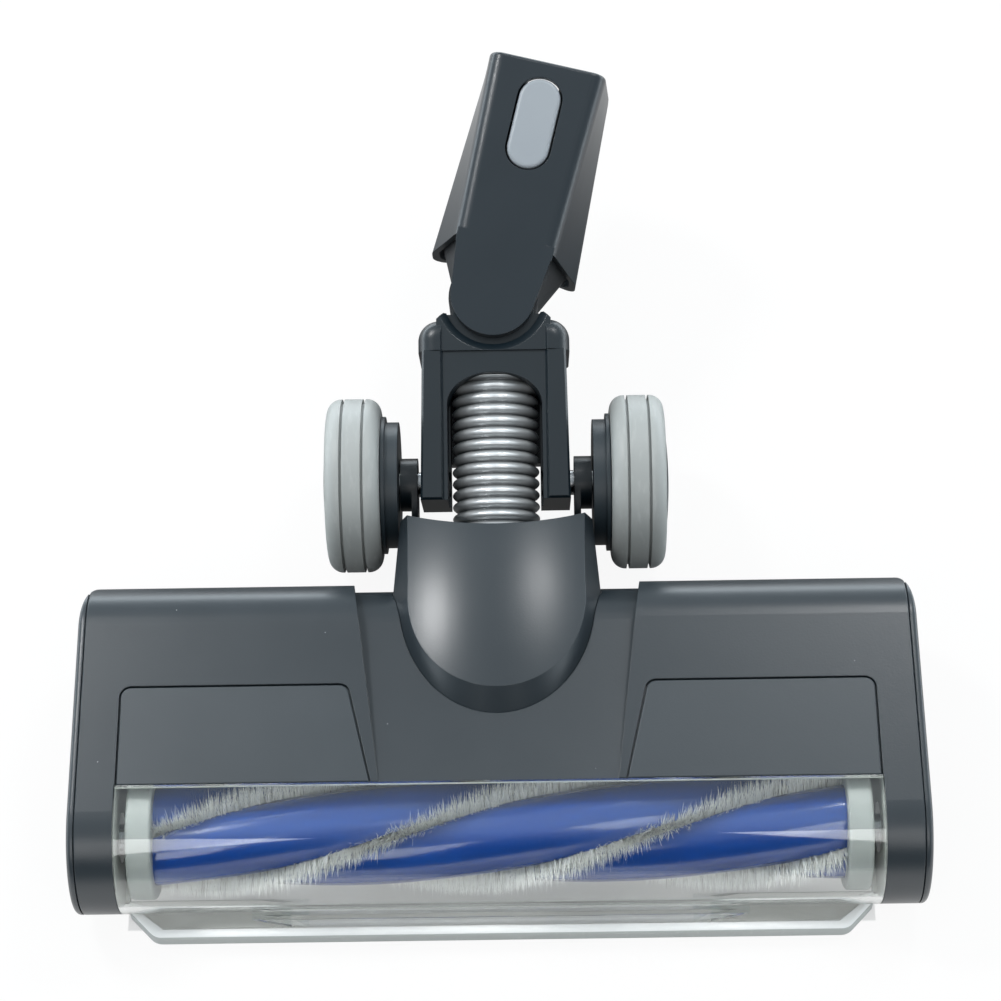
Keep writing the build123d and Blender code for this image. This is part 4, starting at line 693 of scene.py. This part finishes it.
def strand_finish(name, root, dull_tip, tip, odd, odd_share, roughness):
    """Strands that go from the root's colour to a dull or a pale tip, some of an odd colour."""
    material, tree, surface = new_material(name)
    shade = add_node(tree, "ShaderNodeAttribute", attribute_name="strand_shade").outputs["Fac"]
    height = add_node(tree, "ShaderNodeAttribute", attribute_name="strand_height").outputs["Fac"]
    lit = add_node(tree, "ShaderNodeMath", {0: height, 1: TIP_POWER}, operation="POWER")
    ends = add_node(
        tree, "ShaderNodeMix", {"Factor": shade, "A": linear(dull_tip), "B": linear(tip)},
        data_type="RGBA")
    # Painted shade towards the root, where the strands stand close, together with their dust.
    tone = add_node(
        tree, "ShaderNodeMix", {"Factor": lit, "A": linear(root), "B": ends.outputs[2]},
        data_type="RGBA")
    picked = add_node(tree, "ShaderNodeMath", {0: shade, 1: odd_share}, operation="LESS_THAN")
    tone = add_node(
        tree, "ShaderNodeMix", {"Factor": picked, "A": tone.outputs[2], "B": linear(odd)},
        data_type="RGBA")
    shader = add_node(
        tree, "ShaderNodeBsdfPrincipled",
        {"Base Color": tone.outputs[2], "Roughness": roughness, "IOR": 1.53})
    tree.links.new(shader.outputs[0], surface.inputs["Surface"])
    return material


def add_piece(name, mesh, body, slot, *replaced):
    """Puts a finished mesh into the scene: it rides on a body and may stand for CAD nodes."""
    piece = bpy.data.objects.new(name, mesh)
    bpy.context.scene.collection.objects.link(piece)
    if body:
        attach(piece, body)
    if replaced:
        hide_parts(*replaced)
    print(name, "triangles:", sum(len(face.vertices) - 2 for face in mesh.polygons))
    return piece


finishes["bristle"] = strand_finish(
    "nylon_bristle", "#CFD0CA", "#ECEFE8", "#FFFFFF", "#857F76", 0.07, 0.36)

# %% Bristles on the roller
strip_low, strip_high = (Vector(corner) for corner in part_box("bristle_strips"))
BRISTLE_TWIST = math.radians(-322)
BRISTLE_PHASE = math.radians(108)
BRISTLE_ROOT = 9.0 * MM
bristles = grow(strand_tree, "roller_bristles", {
    "Length": strip_high.x - strip_low.x, "Width": 2.0 * MM, "Root": BRISTLE_ROOT,
    "Tip": 19.5 * MM, "Density": 20e6, "Thickness": 0.12 * MM, "Lean": math.radians(11), "Fan": 0.7,
    "Tuft": 1.7 * MM, "Twist": BRISTLE_TWIST, "Phase": BRISTLE_PHASE, "Strips": 3, "Seed": 11,
    "Material": finishes["bristle"]})
bristles.transform(Matrix.Translation(brush_axis))
add_piece("roller_bristles", bristles, "brush", "bristle", "bristle_strips")

# %% [markdown]
# ## Lint strip
# Behind the suction mouth the sole carries a strip of short pile that keeps dust from escaping. The
# same tree makes it: one straight bed, without twist, pointing down.

# %% Pile of the lint strip
lint_low, lint_high = (Vector(corner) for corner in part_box("lint_strip"))
finishes["lint_fabric"] = strand_finish(
    "fleece_pile", "#2C2D30", "#4A4C50", "#5C5E62", "#6A6C70", 0.2, 0.8)
pile = grow(strand_tree, "lint_pile", {
    "Length": (lint_high.x - lint_low.x) - 1 * MM, "Width": (lint_high.y - lint_low.y) - 0.8 * MM,
    "Root": 0.0, "Tip": (lint_high.z - lint_low.z) - 0.1 * MM, "Density": 16e6,
    "Thickness": 0.12 * MM, "Lean": math.radians(7), "Fan": 0.0, "Tuft": 1.2 * MM, "Twist": 0.0,
    "Phase": math.radians(-90), "Strips": 1, "Seed": 5, "Material": finishes["lint_fabric"]})
lint_top = ((lint_low.x + lint_high.x) / 2, (lint_low.y + lint_high.y) / 2, lint_high.z)
pile.transform(Matrix.Translation(lint_top))
add_piece("lint_pile", pile, "head", "lint_fabric", "lint_strip")

# %% [markdown]
# ## Ribbed hose
# Between head and neck runs a short hose of satin rubber. Its ribs are broad and round with narrow
# valleys between them, so that it can bend. The tree sweeps a circle along a straight line and
# swells it by a power of a sine wave, which gives just that profile. Afterwards the hose gets its
# wall.

# %% A tree of ribs along a tube
RIB_POWER = 0.75
hose_tree, given, result = new_tree("ribbed_tube", {
    "Low": "Float", "High": "Float", "Cuff": "Float", "Valley": "Float", "Crest": "Float",
    "Pitch": "Float", "Rings": "Int", "Around": "Int", "Material": "Material"})
tree = hose_tree
start = add_node(tree, "ShaderNodeCombineXYZ", {"Z": given["Low"]})
end = add_node(tree, "ShaderNodeCombineXYZ", {"Z": given["High"]})
line = add_node(tree, "GeometryNodeCurvePrimitiveLine", {"Start": start, "End": end})
rings = add_node(tree, "GeometryNodeResampleCurve", {"Curve": line, "Count": given["Rings"]})
circle = add_node(tree, "GeometryNodeCurvePrimitiveCircle", {
    "Resolution": given["Around"], "Radius": 1.0})
tube = add_node(tree, "GeometryNodeCurveToMesh", {
    "Curve": rings, "Profile Curve": circle.outputs["Curve"]})
position = add_node(tree, "GeometryNodeInputPosition")
here = add_node(tree, "ShaderNodeSeparateXYZ", {0: position}).outputs
first = add_node(tree, "ShaderNodeMath", {0: given["Low"], 1: given["Cuff"]}, operation="ADD")
last = add_node(tree, "ShaderNodeMath", {0: given["High"], 1: given["Cuff"]}, operation="SUBTRACT")
past = add_node(tree, "ShaderNodeMath", {0: here["Z"], 1: first}, operation="SUBTRACT")
turns = add_node(tree, "ShaderNodeMath", {0: past, 1: given["Pitch"]}, operation="DIVIDE")
phase = add_node(tree, "ShaderNodeMath", {0: turns, 1: math.pi}, operation="MULTIPLY")
wave = add_node(tree, "ShaderNodeMath", {0: phase}, operation="SINE")
lift = add_node(tree, "ShaderNodeMath", {0: wave}, operation="ABSOLUTE")
rib = add_node(tree, "ShaderNodeMath", {0: lift, 1: RIB_POWER}, operation="POWER")
above = add_node(tree, "ShaderNodeMath", {0: here["Z"], 1: first}, operation="GREATER_THAN")
below = add_node(tree, "ShaderNodeMath", {0: here["Z"], 1: last}, operation="LESS_THAN")
inside = add_node(tree, "ShaderNodeMath", {0: above, 1: below}, operation="MULTIPLY")
swell = add_node(tree, "ShaderNodeMath", {0: rib, 1: inside}, operation="MULTIPLY")
depth = add_node(
    tree, "ShaderNodeMath", {0: given["Crest"], 1: given["Valley"]}, operation="SUBTRACT")
radius = add_node(
    tree, "ShaderNodeMath", {0: swell, 1: depth, 2: given["Valley"]}, operation="MULTIPLY_ADD")
wide_x = add_node(tree, "ShaderNodeMath", {0: here["X"], 1: radius}, operation="MULTIPLY")
wide_y = add_node(tree, "ShaderNodeMath", {0: here["Y"], 1: radius}, operation="MULTIPLY")
swollen = add_node(tree, "ShaderNodeCombineXYZ", {"X": wide_x, "Y": wide_y, "Z": here["Z"]})
# The rib's height is kept as rib_rise; the hose's finish paints shade into the valleys by it.
marked = add_node(tree, "GeometryNodeStoreNamedAttribute", {
    "Geometry": tube, "Name": "rib_rise", "Value": swell}, data_type="FLOAT", domain="POINT")
ribbed = add_node(tree, "GeometryNodeSetPosition", {"Geometry": marked, "Position": swollen})
smooth = add_node(tree, "GeometryNodeSetShadeSmooth", {"Geometry": ribbed})
whole = add_node(tree, "GeometryNodeRealizeInstances", {"Geometry": smooth})
finished = add_node(tree, "GeometryNodeSetMaterial", {
    "Geometry": whole, "Material": given["Material"]})
tree.links.new(finished.outputs[0], result.inputs[0])

# %% Hose between head and neck
HOSE_WALL = 0.7 * MM
HOSE_RIB = 3.73 * MM
along_hose = [neck_along.dot(point.co - neck_axle) for point in nodes["ribbed_hose"].data.vertices]
hose = grow(hose_tree, "neck_hose", {
    "Low": min(along_hose), "High": max(along_hose), "Cuff": 5 * MM, "Valley": 11.7 * MM,
    "Crest": 13.8 * MM, "Pitch": HOSE_RIB, "Rings": 244, "Around": 72,
    "Material": finishes["hose_rubber"]})
sideways = Vector((1, 0, 0))
neck_turn = Matrix((sideways, neck_along.cross(sideways), neck_along)).transposed().to_4x4()
hose.transform(Matrix.Translation(neck_axle) @ neck_turn)
hose_piece = bpy.data.objects.new("neck_hose", hose)
bpy.context.scene.collection.objects.link(hose_piece)
wall = hose_piece.modifiers.new("wall", "SOLIDIFY")
wall.thickness = HOSE_WALL
wall.offset = -1.0
hose = bpy.data.meshes.new_from_object(
    hose_piece.evaluated_get(bpy.context.evaluated_depsgraph_get()))
bpy.data.objects.remove(hose_piece)
hose_piece = add_piece("neck_hose", hose, None, "hose_rubber", "ribbed_hose")
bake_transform(hose_piece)

# %% [markdown]
# ## Screws
# The sole, the wheel brackets and the back of the neck are held by pan-head screws with a cross
# recess. A plain disc would do from afar, but the recess is what makes it read as a screw. The tree
# rounds the rim of a short cylinder, adds the shank, cuts two crossed bars out of the head with a
# boolean, and sets one screw on each place of the CAD model, each turned a little differently.

# %% A tree of screws
screw_tree, given, result = new_tree("cross_recess_screw", {
    "Places": "Geometry", "Head": "Float", "Height": "Float", "Shank": "Float", "Reach": "Float",
    "Draw In": "Float", "Cross": "Float", "Slot": "Float", "Sunk": "Float", "Seed": "Int",
    "Material": "Material"})
tree = screw_tree
head = add_node(tree, "GeometryNodeMeshCylinder", {
    "Vertices": 40, "Side Segments": 8, "Radius": given["Head"], "Depth": given["Height"]})
position = add_node(tree, "GeometryNodeInputPosition")
spot = add_node(tree, "ShaderNodeSeparateXYZ", {0: position}).outputs
rise = add_node(tree, "ShaderNodeMath", {0: spot["Z"], 1: given["Height"]}, operation="DIVIDE")
rim = add_node(tree, "ShaderNodeMapRange", {"Value": rise, "From Min": 0.0, "From Max": 0.5})
curve = add_node(tree, "ShaderNodeMath", {0: rim, 1: 2.0}, operation="POWER")
drawn_in = add_node(tree, "ShaderNodeMath", {0: curve, 1: given["Draw In"]}, operation="MULTIPLY")
shrink = add_node(tree, "ShaderNodeMath", {0: 1.0, 1: drawn_in}, operation="SUBTRACT")
half_up = add_node(tree, "ShaderNodeMath", {0: given["Height"], 1: -0.5}, operation="MULTIPLY")
rim_x = add_node(tree, "ShaderNodeMath", {0: spot["X"], 1: shrink}, operation="MULTIPLY")
rim_y = add_node(tree, "ShaderNodeMath", {0: spot["Y"], 1: shrink}, operation="MULTIPLY")
rim_z = add_node(tree, "ShaderNodeMath", {0: spot["Z"], 1: half_up}, operation="ADD")
rim_place = add_node(tree, "ShaderNodeCombineXYZ", {"X": rim_x, "Y": rim_y, "Z": rim_z})
pan = add_node(tree, "GeometryNodeSetPosition", {
    "Geometry": head.outputs["Mesh"], "Position": rim_place})
shank = add_node(tree, "GeometryNodeMeshCylinder", {
    "Vertices": 20, "Radius": given["Shank"], "Depth": given["Reach"]})
sunk_half = add_node(tree, "ShaderNodeMath", {0: given["Reach"], 1: -0.5}, operation="MULTIPLY")
shank_z = add_node(tree, "ShaderNodeMath", {0: sunk_half, 1: half_up}, operation="ADD")
shank_place = add_node(tree, "ShaderNodeCombineXYZ", {"Z": shank_z})
below_head = add_node(tree, "GeometryNodeTransform", {
    "Geometry": shank.outputs["Mesh"], "Translation": shank_place})
screw = add_node(tree, "GeometryNodeMeshBoolean", {1: pan}, operation="UNION")
tree.links.new(below_head.outputs[0], screw.inputs[1])
bar = add_node(tree, "ShaderNodeMath", {0: given["Cross"], 1: 2.0}, operation="MULTIPLY")
deep = add_node(tree, "ShaderNodeMath", {0: given["Sunk"], 1: 2.0}, operation="MULTIPLY")
recessed = screw
for x, y in ((bar, given["Slot"]), (given["Slot"], bar)):
    cutter = add_node(tree, "GeometryNodeMeshCube", {
        "Size": add_node(tree, "ShaderNodeCombineXYZ", {"X": x, "Y": y, "Z": deep})})
    recessed = add_node(tree, "GeometryNodeMeshBoolean", {
        "Mesh 1": recessed.outputs["Mesh"], "Mesh 2": cutter.outputs["Mesh"]}, operation="DIFFERENCE")
turns = add_node(tree, "FunctionNodeRandomValue", {
    "Min": (0, 0, 0), "Max": (0, 0, math.pi / 2), "Seed": given["Seed"]}, data_type="FLOAT_VECTOR")
placed = add_node(tree, "GeometryNodeInstanceOnPoints", {
    "Points": given["Places"], "Instance": recessed.outputs["Mesh"],
    "Rotation": add_node(tree, "FunctionNodeEulerToRotation", {"Euler": turns.outputs[0]})})
whole = add_node(tree, "GeometryNodeRealizeInstances", {"Geometry": placed})
finished = add_node(tree, "GeometryNodeSetMaterial", {
    "Geometry": whole, "Material": given["Material"]})
tree.links.new(finished.outputs[0], result.inputs[0])

# %% Screws in the places of the CAD model's
SCREW_HEAD = 3.0 * MM
SCREW_HEIGHT = 1.6 * MM


def set_screws(name, node, body, outward):
    """Screws in place of a node's plain ones, their heads facing outward."""
    turned = outward.to_track_quat("Z", "Y").to_matrix().to_4x4()
    groups = []
    for vertex in nodes[node].data.vertices:
        point = turned.inverted() @ vertex.co
        group = next((g for g in groups if (g[0] - point).to_2d().length < 3 * SCREW_HEAD), None)
        if group is None:
            groups.append([point])
        else:
            group.append(point)
    places = []
    for group in groups:
        middle = [(min(p[i] for p in group) + max(p[i] for p in group)) / 2 for i in (0, 1)]
        places.append((middle[0], middle[1], max(p.z for p in group)))
    long = max(p.z for p in groups[0]) - min(p.z for p in groups[0])
    mesh = grow(screw_tree, name, {
        "Places": places, "Head": SCREW_HEAD, "Height": SCREW_HEIGHT, "Shank": 1.3 * MM,
        "Reach": long - SCREW_HEIGHT / 2, "Draw In": 0.16, "Cross": 1.5 * MM, "Slot": 0.62 * MM,
        "Sunk": 0.9 * MM, "Seed": 4, "Material": finishes["screw_steel"]})
    mesh.transform(turned)
    print(name, "screws:", len(places))
    return add_piece(name, mesh, body, "screw_steel", node)


set_screws("sole_screws", "base_screws", "head", Vector((0, 0, -1)))
set_screws("wheel_bracket_screws", "bracket_screws", "head", Vector((0, 0, 1)))
set_screws("neck_cover_screws", "neck_screws", "neck", -neck_outward)
